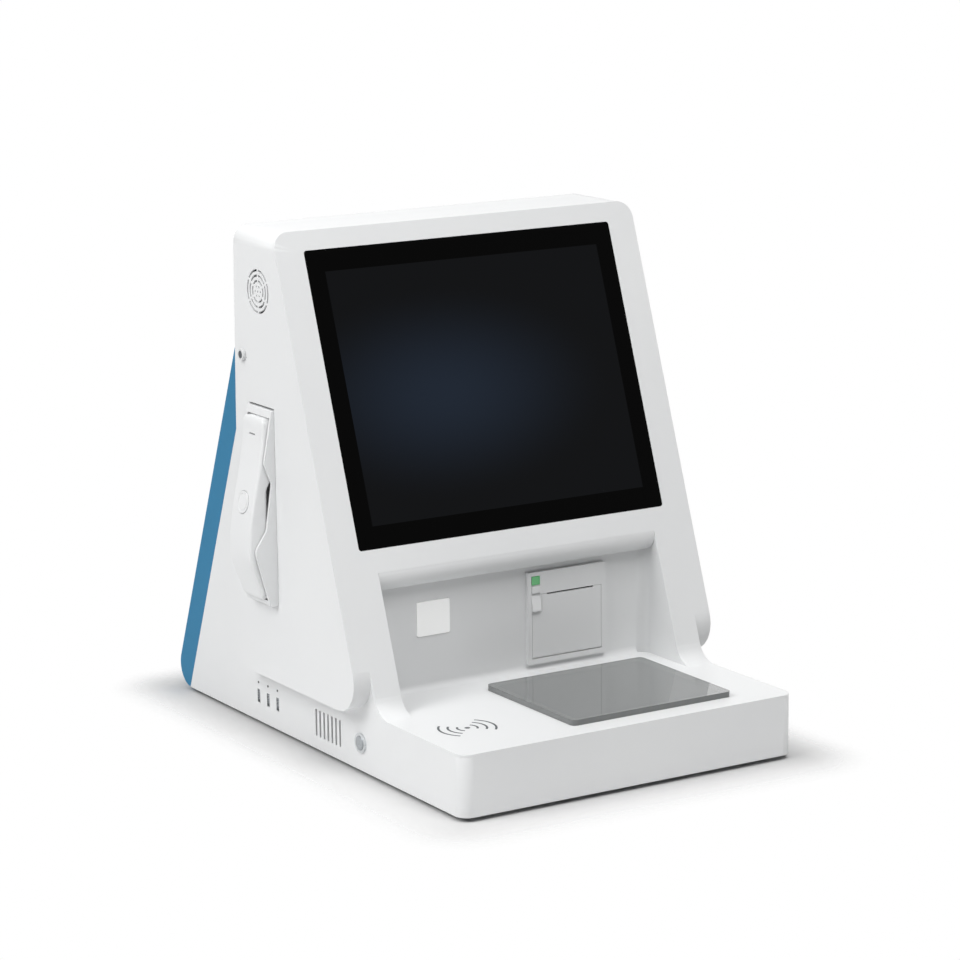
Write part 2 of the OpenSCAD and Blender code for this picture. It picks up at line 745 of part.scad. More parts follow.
module scanner_tray() color(dark_plastic) kiosk() translate([scan_mid[0], scan_mid[1], tray_h - tray_depth])
    difference() {
        w = scan_w - 2 * scan_rim;
        d = scan_d - 2 * scan_rim;
        translate([-w / 2 - tray_wall, -d / 2 - tray_wall, 0])
            cube([w + 2 * tray_wall, d + 2 * tray_wall, tray_depth]);
        translate([-w / 2, -d / 2, tray_wall]) cube([w, d, tray_depth]);
    }

module scanner_camera() color(dark_steel) kiosk()
    translate([scan_mid[0], scan_mid[1], tray_h - tray_depth + tray_wall]) {
        translate([-camera_w / 2, -camera_w / 2, 0]) cube([camera_w, camera_w, camera_w / 5]);
        difference() {
            cylinder(h = camera_w / 2, r = camera_lens_r);
            translate([0, 0, camera_w / 2 - tray_wall])
                cylinder(h = 2 * tray_wall, r = camera_lens_r - tray_wall);
        }
    }

module card_antenna() color(board_green) kiosk() translate([card_x, card_y, tray_h - antenna_size[2]]) {
    translate([-antenna_size[0] / 2, -antenna_size[1] / 2, 0]) cube(antenna_size);
    translate([-antenna_chip[0] / 2, -antenna_chip[1] / 2, -antenna_chip[2]]) cube(antenna_chip);
}

// Code window and the reader behind it
code_r = 2;
code_flange = 6;
code_flange_t = 2;
code_body = [code_w - 8, code_h - 12, 20];

module code_window() color(white_abs) kiosk() along_y(alcove_y - code_proud, alcove_y + wall)
    translate([code_x, code_z]) rounded_rect(code_w, code_h, code_r);

module code_engine() color(dark_plastic) kiosk() {
    seat = alcove_y + wall + code_flange_t;
    along_y(alcove_y + wall, seat) translate([code_x, code_z])
        square([code_w + 2 * code_flange, code_h + 2 * code_flange], center = true);
    along_y(seat, seat + code_body[2]) translate([code_x, code_z])
        square([code_body[0], code_body[1]], center = true);
}

// Ticket printer: (x, z) places on its front are counted from the bezel's lower left corner
bezel_z = deck_h + bezel_lift;
bezel_mid = [bezel_x + bezel_w / 2, bezel_z + bezel_h / 2];
bezel_y = alcove_y - bezel_t;
sleeve_w = bezel_w - 6;
sleeve_h = bezel_h - 6;
sleeve_d = 14;
sleeve_t = 2;
key_x = [5.3, 15.8];
lamp_top = [4.3, 13.8];
feed_top = [15.1, 22.6];
lever_top = [23.4, 42.2];
lamp_proud = 0.4;
lamp_gap = 0.1;
feed_proud = 1.2;
feed_travel = 1;
lever_proud = 3.5;
lever_t = 4;
door_side_gap = 0.4;
printer_hinge = [bezel_y + printer_hinge_r, bezel_z + bezel_strip + door_side_gap + printer_hinge_r];
printer_door_top = bezel_z + bezel_h - bezel_head - door_side_gap;
printer_door_x = [bezel_x + bezel_strip + door_side_gap, bezel_x + bezel_w - bezel_strip - door_side_gap];
trunnion_r = 1.5;
trunnion_l = 2;
lever_pin = [bezel_y + 2.5, bezel_z + bezel_h - lever_top[0] - 1.8];
lever_pin_r = 1.2;
platen_at = [bezel_y + printer_door_t + platen_r + 4.5, printer_door_top - platen_r - 1.5];
platen_x = [bezel_x + 25, bezel_x + 84];
ear_t = 3;
shaft_r = 2;
trough_r = roll_r + 1;
roll_at = [bezel_y + printer_door_t + ear_t + roll_r + 4, printer_hinge[1] + roll_r + 6];

// A bezel opening between two x places and two distances below the bezel's top edge
module key_opening(tops, gap) translate([bezel_x + key_x[0] - gap, bezel_z + bezel_h - tops[1] - gap])
    square([key_x[1] - key_x[0] + 2 * gap, tops[1] - tops[0] + 2 * gap]);

// The door's outline, less the corner that the keys take
module printer_door_outline(gap) difference() {
    x0 = printer_door_x[0] - gap;
    top = printer_door_top + gap;
    translate([x0, printer_hinge[1]]) square([printer_door_x[1] + gap - x0, top - printer_hinge[1]]);
    translate([bezel_x, bezel_z + bezel_h - key_panel_h - door_side_gap + gap])
        square([key_panel_w + door_side_gap - gap, 2 * key_panel_h]);
}

module printer_bezel() color(white_abs) kiosk() difference() {
    union() {
        along_y(bezel_y, alcove_y) translate(bezel_mid) rounded_rect(bezel_w, bezel_h, bezel_r);
        along_y(alcove_y, alcove_y + sleeve_d) translate(bezel_mid)
            square([sleeve_w, sleeve_h], center = true);
    }
    along_y(alcove_y - eps, alcove_y + 2 * sleeve_d) translate(bezel_mid)
        square([sleeve_w - 2 * sleeve_t, sleeve_h - 2 * sleeve_t], center = true);
    along_y(bezel_y - 1, alcove_y + 1) {
        printer_door_outline(door_side_gap);
        translate([printer_door_x[0] - door_side_gap, printer_hinge[1] - printer_hinge_r - door_side_gap])
            square([printer_door_x[1] - printer_door_x[0] + 2 * door_side_gap, 2 * printer_hinge_r]);
        for (tops = [lamp_top, feed_top, lever_top]) key_opening(tops, slide_gap);
    }
    rod(printer_door_x[0] - trunnion_l - 1, printer_door_x[1] + trunnion_l + 1,
        printer_hinge, trunnion_r + run_gap);
    rod(bezel_x + key_x[0] - trunnion_l, bezel_x + key_x[1] + trunnion_l, lever_pin, lever_pin_r + run_gap);
}

module printer_lamp() color(lamp_green) kiosk()
    along_y(bezel_y - lamp_proud, alcove_y) key_opening(lamp_top, lamp_gap - slide_gap);

// The key ends short of the chassis behind it, by its stroke
module feed_key() color(white_abs) kiosk()
    along_y(bezel_y - feed_proud, alcove_y - feed_travel - seat_gap) key_opening(feed_top, 0);

module release_lever() color(white_abs) kiosk() {
    high = bezel_z + bezel_h - lever_top[0] - 0.2;
    low = bezel_z + bezel_h - lever_top[1];
    translate([bezel_x + (key_x[0] + key_x[1]) / 2, 0, 0]) along_x(key_x[1] - key_x[0]) polygon([
        [lever_pin[0] - lever_pin_r, high], [bezel_y, high - lever_t],
        [bezel_y - lever_proud, low + lever_t / 2], [bezel_y - lever_proud, low],
        [bezel_y + lever_t / 2, low], [bezel_y + lever_t, low + lever_t],
        [bezel_y + lever_t, high - lever_t], [lever_pin[0] + lever_pin_r, high]
    ]);
    rod(bezel_x + key_x[0] - trunnion_l + 0.4, bezel_x + key_x[1] + trunnion_l - 0.4, lever_pin, lever_pin_r);
}

module platen_ears() for (x = [platen_x[0] - ear_t - seat_gap, platen_x[1] + seat_gap])
    translate([x + ear_t / 2, 0, 0]) along_x(ear_t) {
        translate(platen_at) circle(platen_r - 0.5);
        polygon([
            [bezel_y + printer_door_t - 1, platen_at[1] - 14], platen_at - [0, platen_r - 0.5],
            platen_at + [0, platen_r - 0.5], [bezel_y + printer_door_t - 1, platen_at[1] + platen_r - 0.5]
        ]);
    }

module printer_door() color(white_abs) kiosk() difference() {
    union() {
        along_y(bezel_y, bezel_y + printer_door_t) printer_door_outline(0);
        rod(printer_door_x[0], printer_door_x[1], printer_hinge, printer_hinge_r);
        rod(printer_door_x[0] - trunnion_l, printer_door_x[1] + trunnion_l, printer_hinge, trunnion_r);
        platen_ears();
    }
    along_y(bezel_y - 1, bezel_y + 2 * printer_door_t)
        translate([(platen_x[0] + platen_x[1]) / 2 - slot_w / 2, printer_door_top - slot_h + door_side_gap])
            square([slot_w, 2 * slot_h]);
    rod(bezel_x, bezel_x + bezel_w, platen_at, shaft_r + run_gap);
}

module platen_roller() color(rubber_black) kiosk() {
    rod(platen_x[0], platen_x[1], platen_at, platen_r);
    rod(platen_x[0] - ear_t - 2, platen_x[1] + ear_t + 2, platen_at, shaft_r);
}

// Chassis behind the bezel: two side plates, the trough that the roll lies in and the head's seat
chassis_x = [bezel_x + 14, bezel_x + bezel_w - 9];
chassis_t = 2;
chassis_y = roll_at[0] + trough_r + 3;
head_at = [platen_at[0] + platen_r + seat_gap, platen_at[1] - 8];
head_t = 2;
head_bar_h = 16;
head_fins = 4;
head_fin_d = 8;

module printer_chassis() color(dark_plastic) kiosk() {
    for (x = chassis_x) translate([x, 0, 0]) along_x(chassis_t) polygon([
        [alcove_y, bezel_z + 5], [chassis_y, bezel_z + 12], [chassis_y, roll_at[1] + trough_r],
        [head_at[0] + 14, printer_door_top + 8], [alcove_y, printer_door_top + 8]
    ]);
    translate([(chassis_x[0] + chassis_x[1]) / 2, 0, 0])
        along_x(chassis_x[1] - chassis_x[0] - chassis_t) difference() {
            translate(roll_at) circle(trough_r + chassis_t);
            translate(roll_at) circle(trough_r);
            translate(roll_at - [2 * trough_r, 4]) square(4 * trough_r);
            translate([bezel_y, bezel_z]) square([alcove_y + 1 - bezel_y, bezel_h]);
        }
}

module print_head() color(dark_steel) kiosk() {
    x0 = chassis_x[0] + chassis_t / 2;
    x1 = chassis_x[1] - chassis_t / 2;
    translate([x0, head_at[0], head_at[1]]) {
        cube([x1 - x0, head_t, head_bar_h]);
        for (i = [0 : head_fins - 1]) translate([head_fin_d, head_t, (i + 0.25) * head_bar_h / head_fins])
            cube([x1 - x0 - 2 * head_fin_d, head_fin_d, head_bar_h / head_fins / 2]);
    }
}

roll_drop = trough_r - roll_r - seat_gap;

module paper_roll() color(paper_white) kiosk() difference() {
    at = roll_at - [0, roll_drop];
    rod(platen_x[0], platen_x[1] - 1, at, roll_r);
    rod(bezel_x, bezel_x + bezel_w, at, core_r);
}

// Handset: a loft along its length, thin at the ear and deepest at the chin
ear_out = 0.37 * handset_out;
chin_out = 0.5 * handset_out;
belly_z = handset_z + 51;
chin_run = 60;
ear_run = handset_z + handset_len - belly_z;
arch_z = [handset_z + 58, handset_z + 148];
handset_end_r = 8;
handset_seat = seat_gap - cradle_sink;
handset_rings = 24;
handset_sides = 28;

// How far the outer face reaches out of the cheek at height z: a half cosine up and down from the belly
function outer_reach(z) = z > belly_z
    ? ear_out + (handset_out - ear_out) * (1 + cos(180 * (z - belly_z) / ear_run)) / 2
    : chin_out + (handset_out - chin_out) * (1 + cos(180 * (belly_z - z) / chin_run)) / 2;
// How far the inner face stands off the cheek: one cosine arch behind the grip
function inner_reach(z) = handset_seat + (z > arch_z[0] && z < arch_z[1]
    ? arch_d * (1 - cos(360 * (z - arch_z[0]) / (arch_z[1] - arch_z[0]))) / 2 : 0);
// How much the ends draw in, as a quarter circle
function end_draw(z) = let(d = min(z - handset_z, handset_z + handset_len - z))
    d < handset_end_r ? handset_end_r - sqrt(pow(handset_end_r, 2) - pow(handset_end_r - d, 2)) : 0;
// A rounded square wave between -1 and 1
function squarish(v) = sign(v) * pow(abs(v), 0.45);

function handset_ring(z) = let(
    draw = end_draw(z),
    half = handset_w / 2 - draw,
    low = inner_reach(z) + 0.25 * draw,
    high = outer_reach(z) - 0.3 * draw)
    [for (i = [0 : handset_sides - 1]) let(a = 360 * i / handset_sides) [
        -head_w / 2 - (low + high) / 2 - (high - low) / 2 * squarish(sin(a)),
        handset_y + half * squarish(cos(a)),
        z
    ]];

handset_stations = concat(
    [for (d = [0, 0.6, 2, 4.5]) handset_z + d],
    [for (i = [0 : handset_rings]) handset_z + handset_end_r
        + (handset_len - 2 * handset_end_r) * i / handset_rings],
    [for (d = [4.5, 2, 0.6, 0]) handset_z + handset_len - d]
);

module handset_loft() {
    n = handset_sides;
    last = len(handset_stations) - 1;
    polyhedron(
        points = [for (z = handset_stations) each handset_ring(z)],
        faces = concat(
            [for (k = [0 : last - 1], i = [0 : n - 1]) let(j = (i + 1) % n) each [
                [k * n + i, k * n + j, (k + 1) * n + j], [k * n + i, (k + 1) * n + j, (k + 1) * n + i]]],
            [for (i = [1 : n - 2]) [0, i + 1, i]],
            [for (i = [1 : n - 2]) [last * n, last * n + i, last * n + i + 1]]
        ));
}

talk_z = handset_z + 104;
talk_depth = 6;
talk_proud = 0.6;
notch_z = handset_z + 176;
notch_size = [3, 13, 1.6];
talk_tilt = atan((outer_reach(talk_z - 1) - outer_reach(talk_z + 1)) / 2);
ear_z = handset_z + handset_len - 24;
mouth_z = handset_z + 26;
disc_r = 14;
disc_t = 3;

// The talk button's seat: z runs into the handset, square to its outer face
module on_talk() translate([-head_w / 2 - outer_reach(talk_z), handset_y, talk_z])
    rotate([0, 90 + talk_tilt, 0]) children();

// Seats of the earpiece and mouthpiece on the handset's inner face
module on_inner_face(z) translate([-head_w / 2 - handset_seat, handset_y, z]) rotate([0, -90, 0]) children();

module handset_shell() color(white_abs) kiosk() difference() {
    handset_loft();
    on_talk() translate([0, 0, -talk_r])
        cylinder(h = talk_r + talk_depth + talk_travel + seat_gap, r = talk_r);
    for (z = [ear_z, mouth_z]) on_inner_face(z) translate([0, 0, -1])
        cylinder(h = disc_t + 1 + run_gap, r = disc_r);
    translate([-head_w / 2 - outer_reach(notch_z), handset_y, notch_z]) cube(notch_size, center = true);
}

module talk_button() color(white_abs) kiosk() on_talk() difference() {
    translate([0, 0, -talk_proud]) cylinder(h = talk_depth + talk_proud, r = talk_r - slide_gap);
    translate([0, 0, -talk_proud]) rotate_extrude() translate([talk_r - 3, 0]) circle(0.5);
}

module speaker_disc(z, holes) on_inner_face(z) difference() {
    cylinder(h = disc_t, r = disc_r - seat_gap);
    for (i = [0 : holes - 1]) rotate([0, 0, 360 * i / holes]) translate([disc_r / 2, 0, -1])
        cylinder(h = disc_t, r = 1);
    translate([0, 0, -1]) cylinder(h = disc_t, r = 1);
}

module earpiece() color(dark_plastic) kiosk() speaker_disc(ear_z, 8);

module mouthpiece() color(dark_plastic) kiosk() speaker_disc(mouth_z, 5);

// Cradle: a tub sunk into the cheek, with finger scoops in its side walls and a flange behind the cheek
cradle_side_gap = 1;
cradle_w = handset_w + 2 * (cradle_wall + cradle_side_gap);
cradle_low = 7;
cradle_high = 9;
cradle_len = handset_len + cradle_low + cradle_high;
cradle_z = handset_z - cradle_low;
cradle_back = cradle_sink + cradle_floor;
cradle_flange = [5, 2];
// The side walls' rim: distance up from the cradle's foot, distance out of the cheek
cradle_rim = [
    [0, -cradle_back], [0, 9], [62, 26], [82, 12], [132, 4.5], [155, 13],
    [cradle_len, 2.5], [cradle_len, -cradle_back]
];
cradle_rim_r = [0, 3, 12, 10, 10, 8, 1, 0];

module cradle_profile()
    rounded_poly([for (p = cradle_rim) [-head_w / 2 - p[1], cradle_z + p[0]]], cradle_rim_r);

module handset_cradle() color(white_abs) kiosk() {
    y0 = handset_y - cradle_w / 2;
    y1 = handset_y + cradle_w / 2;
    back = -head_w / 2 + cradle_back;
    along_y(y0, y0 + cradle_wall) cradle_profile();
    along_y(y1 - cradle_wall, y1) cradle_profile();
    intersection() {
        along_y(y0, y1) cradle_profile();
        union() {
            block([back - cradle_floor, y0, cradle_z], [back, y1, cradle_z + cradle_len]);
            block([-head_w, y0, cradle_z], [back, y1, handset_z - seat_gap]);
            block([-head_w, y0, handset_z + handset_len + cradle_side_gap],
                  [back, y1, cradle_z + cradle_len]);
        }
    }
    for (y = [y0 - cradle_flange[0], y1]) block([-head_w / 2 + wall, y, cradle_z + 6],
        [-head_w / 2 + wall + cradle_flange[1], y + cradle_flange[0], cradle_z + cradle_len - 6]);
}

// Fan behind the grille
fan_bore_r = fan_w / 2 - 1;
hub_r = fan_w * 0.23;
fan_shaft_r = 1.5;
fan_plate_t = 2;
fan_corner_r = 4;
fan_spoke = 3;
blade_turn = 38;
blade_w = 12;
blade_t = 1.2;

module on_fan() translate([-head_w / 2 + wall, fan_y, fan_z]) rotate([0, 90, 0]) children();

module fan_ring() difference() {
    rounded_rect(fan_w, fan_w, fan_corner_r);
    circle(fan_bore_r);
}

module fan_spider() difference() {
    union() {
        circle(hub_r);
        for (a = [0, 120, 240]) rotate(a) translate([0, -fan_spoke / 2]) square([fan_bore_r + 1, fan_spoke]);
    }
    circle(fan_shaft_r + run_gap);
}

module fan_frame() color(dark_plastic) kiosk() on_fan() {
    linear_extrude(fan_t - fan_plate_t) fan_ring();
    translate([0, 0, fan_t - fan_plate_t]) linear_extrude(fan_plate_t) {
        fan_ring();
        fan_spider();
    }
}

module fan_rotor() color(dark_plastic) kiosk() on_fan() {
    high = fan_t - fan_plate_t - seat_gap;
    translate([0, 0, seat_gap]) cylinder(h = high - seat_gap, r = hub_r);
    translate([0, 0, 1]) cylinder(h = fan_t - 1, r = fan_shaft_r);
    intersection() {
        translate([0, 0, seat_gap]) cylinder(h = high - seat_gap, r = fan_bore_r - 2 * seat_gap);
        for (i = [0 : fan_blades - 1]) rotate([0, 0, 360 * i / fan_blades])
            translate([hub_r - 1, 0, (high + seat_gap) / 2]) rotate([blade_turn, 0, 0])
                translate([0, -blade_w / 2, -blade_t / 2]) cube([fan_bore_r, blade_w, blade_t]);
    }
}

// Sockets, lamps and power switch in the left side wall
usb_shell = [5.8, 14.5];
usb_depth = 16;
usb_skin = 0.4;
usb_board_t = 1.6;
usb_edge = 3;
usb_post_r = 2.5;
power_neck_r = power_r - 1.5;
power_cap_r = power_r - 3;
power_body_h = 18;
power_floor = 4;
power_ring_t = 2;
power_proud = power_ring_t + 0.5;

module usb_sockets() color(steel) kiosk() usb_spots() {
    difference() {
        translate([0, -usb_shell[0] / 2, -usb_shell[1] / 2]) cube([usb_depth, usb_shell[0], usb_shell[1]]);
        translate([-1, -usb_shell[0] / 2 + usb_skin, -usb_shell[1] / 2 + usb_skin])
            cube([usb_depth - 1, usb_shell[0] - 2 * usb_skin, usb_shell[1] - 2 * usb_skin]);
    }
    translate([2, -usb_shell[0] / 2 + usb_skin + 2.9, -5.5]) cube([usb_depth - 3, 1.8, 11]);
}

module usb_board() color(board_green) kiosk() {
    x = -base_w / 2 + usb_depth;
    reach = usb_pitch + usb_shell[0] + 4;
    block([x, usb_y - reach, usb_z - usb_shell[1] / 2 - usb_edge],
          [x + usb_board_t, usb_y + reach, usb_z + lamp_rise + usb_edge]);
    for (y = [usb_y - reach + usb_edge, usb_y + reach - usb_edge])
        rod(-base_w / 2 + wall, x, [y, usb_z + usb_shell[1] / 2], usb_post_r);
}

module port_lamps() color(dark_plastic) kiosk() usb_spots()
    translate([-0.3, 0, lamp_rise]) rotate([0, 90, 0]) cylinder(h = usb_depth + 0.3, r = lamp_r);

module power_ring() color(steel) kiosk() difference() {
    union() {
        rod(-base_w / 2 - power_ring_t, -base_w / 2, [power_y, power_z], power_r);
        rod(-base_w / 2 - power_ring_t, -base_w / 2 + power_body_h, [power_y, power_z], power_neck_r);
    }
    rod(-base_w / 2 - wall, -base_w / 2 + power_body_h - power_floor,
        [power_y, power_z], power_cap_r + slide_gap);
}

module power_button() color(steel) kiosk()
    rod(-base_w / 2 - power_proud, -base_w / 2 + power_body_h - power_floor - power_travel - seat_gap,
        [power_y, power_z], power_cap_r);

// Mains inlet in the right side wall, power supply and main board on the bottom plate
inlet_body = [28, 20];
inlet_flange = [44, 26, 2];
inlet_depth = 24;
inlet_mouth = [24.5, 16.5, 16];
inlet_pins = [[-7, -2.5], [0, -5.5], [7, -2.5]];
supply_size = [95, 150, 40];
supply_t = 1.2;
supply_vents = 9;
supply_at = [40, base_d - bracket_reach - supply_size[1] - 5];
board_size = [150, 170, 1.6];
board_at = [-140, base_d - 290];
sink_size = [52, 52, 22];
sink_base = 4;
sink_fins = 8;
memory_size = [6, 110, 18];
stack_size = [24, 60, 14];
standoff_h = 8;
standoff_r = 3.5;
standoff_in = 8;

module mains_inlet() color(dark_plastic) kiosk() translate([base_w / 2, inlet_y, inlet_z]) {
    difference() {
        union() {
            translate([0, -inlet_flange[0] / 2, -inlet_flange[1] / 2])
                cube([inlet_flange[2], inlet_flange[0], inlet_flange[1]]);
            translate([-inlet_depth, -inlet_body[0] / 2, -inlet_body[1] / 2])
                cube([inlet_depth + 1, inlet_body[0], inlet_body[1]]);
        }
        translate([inlet_flange[2] - inlet_mouth[2], -inlet_mouth[0] / 2, -inlet_mouth[1] / 2])
            cube([inlet_mouth[2] + 1, inlet_mouth[0], inlet_mouth[1]]);
    }
    for (p = inlet_pins) translate([inlet_flange[2] - inlet_mouth[2] - 1, p[0] - 1, p[1] - 2])
        cube([inlet_mouth[2] - 3, 2, 4]);
}

module power_supply() color(steel) kiosk() translate([supply_at[0], supply_at[1], plate_t]) difference() {
    pitch = supply_size[1] / (supply_vents + 2);
    cube(supply_size);
    translate([supply_t, supply_t, supply_t]) cube([for (s = supply_size) s - 2 * supply_t]);
    for (i = [1 : supply_vents]) translate([pitch, (i + 0.5) * pitch, supply_size[2] - 2 * supply_t])
        cube([supply_size[0] - 2 * pitch, 0.4 * pitch, 3 * supply_t]);
}

module main_board() color(board_green) kiosk() translate([board_at[0], board_at[1], plate_t + standoff_h]) {
    fin_pitch = sink_size[0] / (sink_fins - 0.5);
    cube(board_size);
    translate([0.3 * board_size[0], 0.35 * board_size[1], board_size[2]]) {
        cube([sink_size[0], sink_size[1], sink_base]);
        for (i = [0 : sink_fins - 1]) translate([i * fin_pitch, 0, 0])
            cube([0.45 * fin_pitch, sink_size[1], sink_size[2]]);
    }
    for (i = [4, 6]) translate([board_size[0] - i * memory_size[0], 0.18 * board_size[1], board_size[2]])
        cube(memory_size);
    translate([standoff_in, 0.07 * board_size[1], board_size[2]]) cube(stack_size);
}

module board_standoffs() color(steel) kiosk()
    for (x = [standoff_in, board_size[0] - standoff_in], y = [standoff_in, board_size[1] - standoff_in])
        translate([board_at[0] + x, board_at[1] + y, plate_t]) cylinder(h = standoff_h, r = standoff_r);

base_tray();
bottom_plate();
rubber_feet();
base_screws();
front_cover();
alcove_liner();
side_cover_left();
side_cover_right();
hood();
rear_door();
hinge_brackets();
hinge_pins();
door_strike();
lock_barrel();
lock_plug();
lock_cam();
touch_glass();
screen_frame();
lcd_panel();
scanner_glass();
scanner_tray();
scanner_camera();
card_antenna();
code_window();
code_engine();
printer_bezel();
printer_lamp();
feed_key();
release_lever();
printer_door();
platen_roller();
print_head();
printer_chassis();
paper_roll();
handset_cradle();
handset_shell();
talk_button();
earpiece();
mouthpiece();
fan_frame();
fan_rotor();
usb_sockets();
usb_board();
port_lamps();
power_ring();
power_button();
mains_inlet();
power_supply();
main_board();
board_standoffs();
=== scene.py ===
# %% [markdown]
# A visitor kiosk stands on a reception counter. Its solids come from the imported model, already in
# metres and in their final places, so this script only finishes them: real materials, softened
# edges, a printed mark, a crisper handset, a camera and studio light. Every step below says what
# the real thing is, how it could be made, and why this way was taken.

# %% Load the solids
import json
import math

import bpy
import numpy as np
from mathutils import Matrix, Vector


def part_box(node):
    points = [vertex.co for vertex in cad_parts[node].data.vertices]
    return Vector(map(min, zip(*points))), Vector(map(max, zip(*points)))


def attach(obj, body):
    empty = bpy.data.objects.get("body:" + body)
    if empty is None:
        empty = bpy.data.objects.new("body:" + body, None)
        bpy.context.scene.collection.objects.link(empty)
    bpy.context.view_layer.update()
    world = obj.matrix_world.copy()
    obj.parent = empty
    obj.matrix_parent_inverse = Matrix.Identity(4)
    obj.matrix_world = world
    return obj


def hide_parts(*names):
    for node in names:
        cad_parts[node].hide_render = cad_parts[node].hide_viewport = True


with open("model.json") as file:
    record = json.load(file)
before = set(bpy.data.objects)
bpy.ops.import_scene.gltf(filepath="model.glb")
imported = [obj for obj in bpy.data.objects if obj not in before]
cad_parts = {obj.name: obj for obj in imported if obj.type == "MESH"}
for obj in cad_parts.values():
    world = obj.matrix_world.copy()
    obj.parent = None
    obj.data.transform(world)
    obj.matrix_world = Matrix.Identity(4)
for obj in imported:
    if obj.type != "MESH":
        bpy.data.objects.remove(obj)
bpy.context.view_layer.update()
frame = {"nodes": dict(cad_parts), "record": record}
nodes = frame["nodes"]
scene = bpy.context.scene
scene.view_settings.view_transform = "Standard"

# %% [markdown]
# Sizes on the kiosk are counted in millimetres on a ruler that starts at the middle of the lower
# body's front edge, at its underside. Reading that point off the lower body's own box keeps the
# script right if the model is packed again with other sizes.

# %% A ruler in millimetres
MM = 1000  # millimetres in a metre
tray_low, tray_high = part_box("base_tray")
ruler = np.array([(tray_low.x + tray_high.x) / 2, tray_low.y, tray_low.z])


def place(points):
    """Points in millimetres on the ruler, as metres in the model's frame."""
    return np.asarray(points, float) / MM + ruler


def measure(points):
    """The other way round: metres in the model's frame, as millimetres on the ruler."""
    return (np.asarray(points, float) - ruler) * MM


print("ruler starts at", ruler.round(4))

# %% [markdown]
# The camera repeats the photograph's: a long lens, far off to the left and a little above. It could
# be aimed with a tracking constraint, but three measured angles give a plain matrix, and that is
# easier to check: the columns are the camera's right, up and backward directions.

# %% Camera
PHOTO_PIXELS, FOCAL_PIXELS, SENSOR_MM, SIGHT_END = 960, 3375.1, 36, 50
CAMERA_AT = (-1854.5, -2724.6, 1025.3)
YAW, PITCH, ROLL = (math.radians(angle) for angle in (31.598, 12.091, 0.697))
heading = np.array([math.sin(YAW), math.cos(YAW), 0.0])
forward = math.cos(PITCH) * heading - math.sin(PITCH) * np.array([0.0, 0.0, 1.0])
level = np.array([math.cos(YAW), -math.sin(YAW), 0.0])
sunk = np.cross(forward, level)
right = math.cos(ROLL) * level + math.sin(ROLL) * sunk
down = math.cos(ROLL) * sunk - math.sin(ROLL) * level
camera = bpy.data.objects.new("camera", bpy.data.cameras.new("camera"))
camera.data.sensor_width = SENSOR_MM
camera.data.lens = SENSOR_MM * FOCAL_PIXELS / PHOTO_PIXELS
camera.data.clip_end = SIGHT_END
aim = Matrix(np.column_stack([right, -down, -forward]).tolist()).to_4x4()
camera.matrix_world = Matrix.Translation(place(CAMERA_AT)) @ aim
scene.collection.objects.link(camera)
scene.camera = camera
print("lens", round(camera.data.lens, 1), "mm")

# %% [markdown]
# Shading is a graph of nodes. A few small helpers keep each material readable. One turns a colour
# as a designer writes it into the linear light that the renderer counts in, one adds a node with
# its settings and links, and one starts a material with its shader ready. The rest are the three
# kinds of arithmetic that come up again and again.

# %% Shading helpers


def linear(code):
    """An sRGB hex colour as linear red, green, blue and alpha.

    Up to 0.04045 a value is divided by 12.92. Above that, 0.055 is added, the sum is divided by
    1.055, and the result is raised to the power 2.4.
    """
    values = np.array([int(code[i:i + 2], 16) for i in (1, 3, 5)]) / 255
    curved = np.where(values <= 0.04045, values / 12.92, ((values + 0.055) / 1.055) ** 2.4)
    return (*curved.tolist(), 1.0)


def add(tree, kind, inputs=None, **settings):
    """Adds one node, sets its options, and fills its inputs with values or links."""
    node = tree.nodes.new(kind)
    for name, value in settings.items():
        setattr(node, name, value)
    for name, value in (inputs or {}).items():
        if isinstance(value, bpy.types.NodeSocket):
            tree.links.new(value, node.inputs[name])
        else:
            node.inputs[name].default_value = value
    return node


def start(name, **sockets):
    """A material named for what it is made of, with its shader's constant sockets set."""
    material = bpy.data.materials.new(name)
    material.use_nodes = True
    tree = material.node_tree
    shader = tree.nodes["Principled BSDF"]
    for socket, value in sockets.items():
        shader.inputs[socket.replace("_", " ")].default_value = value
    return material, tree, shader


def number(tree, operation, *values):
    """One step of arithmetic on numbers."""
    inputs = dict(enumerate(values))
    return add(tree, "ShaderNodeMath", inputs, operation=operation).outputs["Value"]


def vector(tree, operation, *values, result="Vector"):
    """One step of arithmetic on vectors. Lengths and dot products come out as "Value"."""
    inputs = dict(enumerate(values))
    return add(tree, "ShaderNodeVectorMath", inputs, operation=operation).outputs[result]


def remap(tree, value, source, target, **settings):
    """A value carried in proportion from a source range to a target range, and held at its ends."""
    inputs = {"Value": value, "From Min": source[0], "From Max": source[1],
              "To Min": target[0], "To Max": target[1]}
    return add(tree, "ShaderNodeMapRange", inputs, **settings).outputs["Result"]


print("shading helpers ready")

# %% [markdown]
# No real surface has one flat colour or one roughness. Two things are on nearly all of them: a
# slow drift between two close shades, and a fine grain that lifts the skin and varies its shine.
# Both are noise in the object's own coordinates, so that sizes can be given in real millimetres.

# %% Drift and grain
DRIFT_DETAIL, GRAIN_DETAIL, GRAIN_STRENGTH = 2.0, 3.0, 0.25


def noise(tree, where, size, detail):
    """Noise whose blobs repeat about every so many millimetres: a scale of 1000 over that size."""
    inputs = {"Vector": where, "Scale": MM / size, "Detail": detail}
    return add(tree, "ShaderNodeTexNoise", inputs).outputs["Fac"]


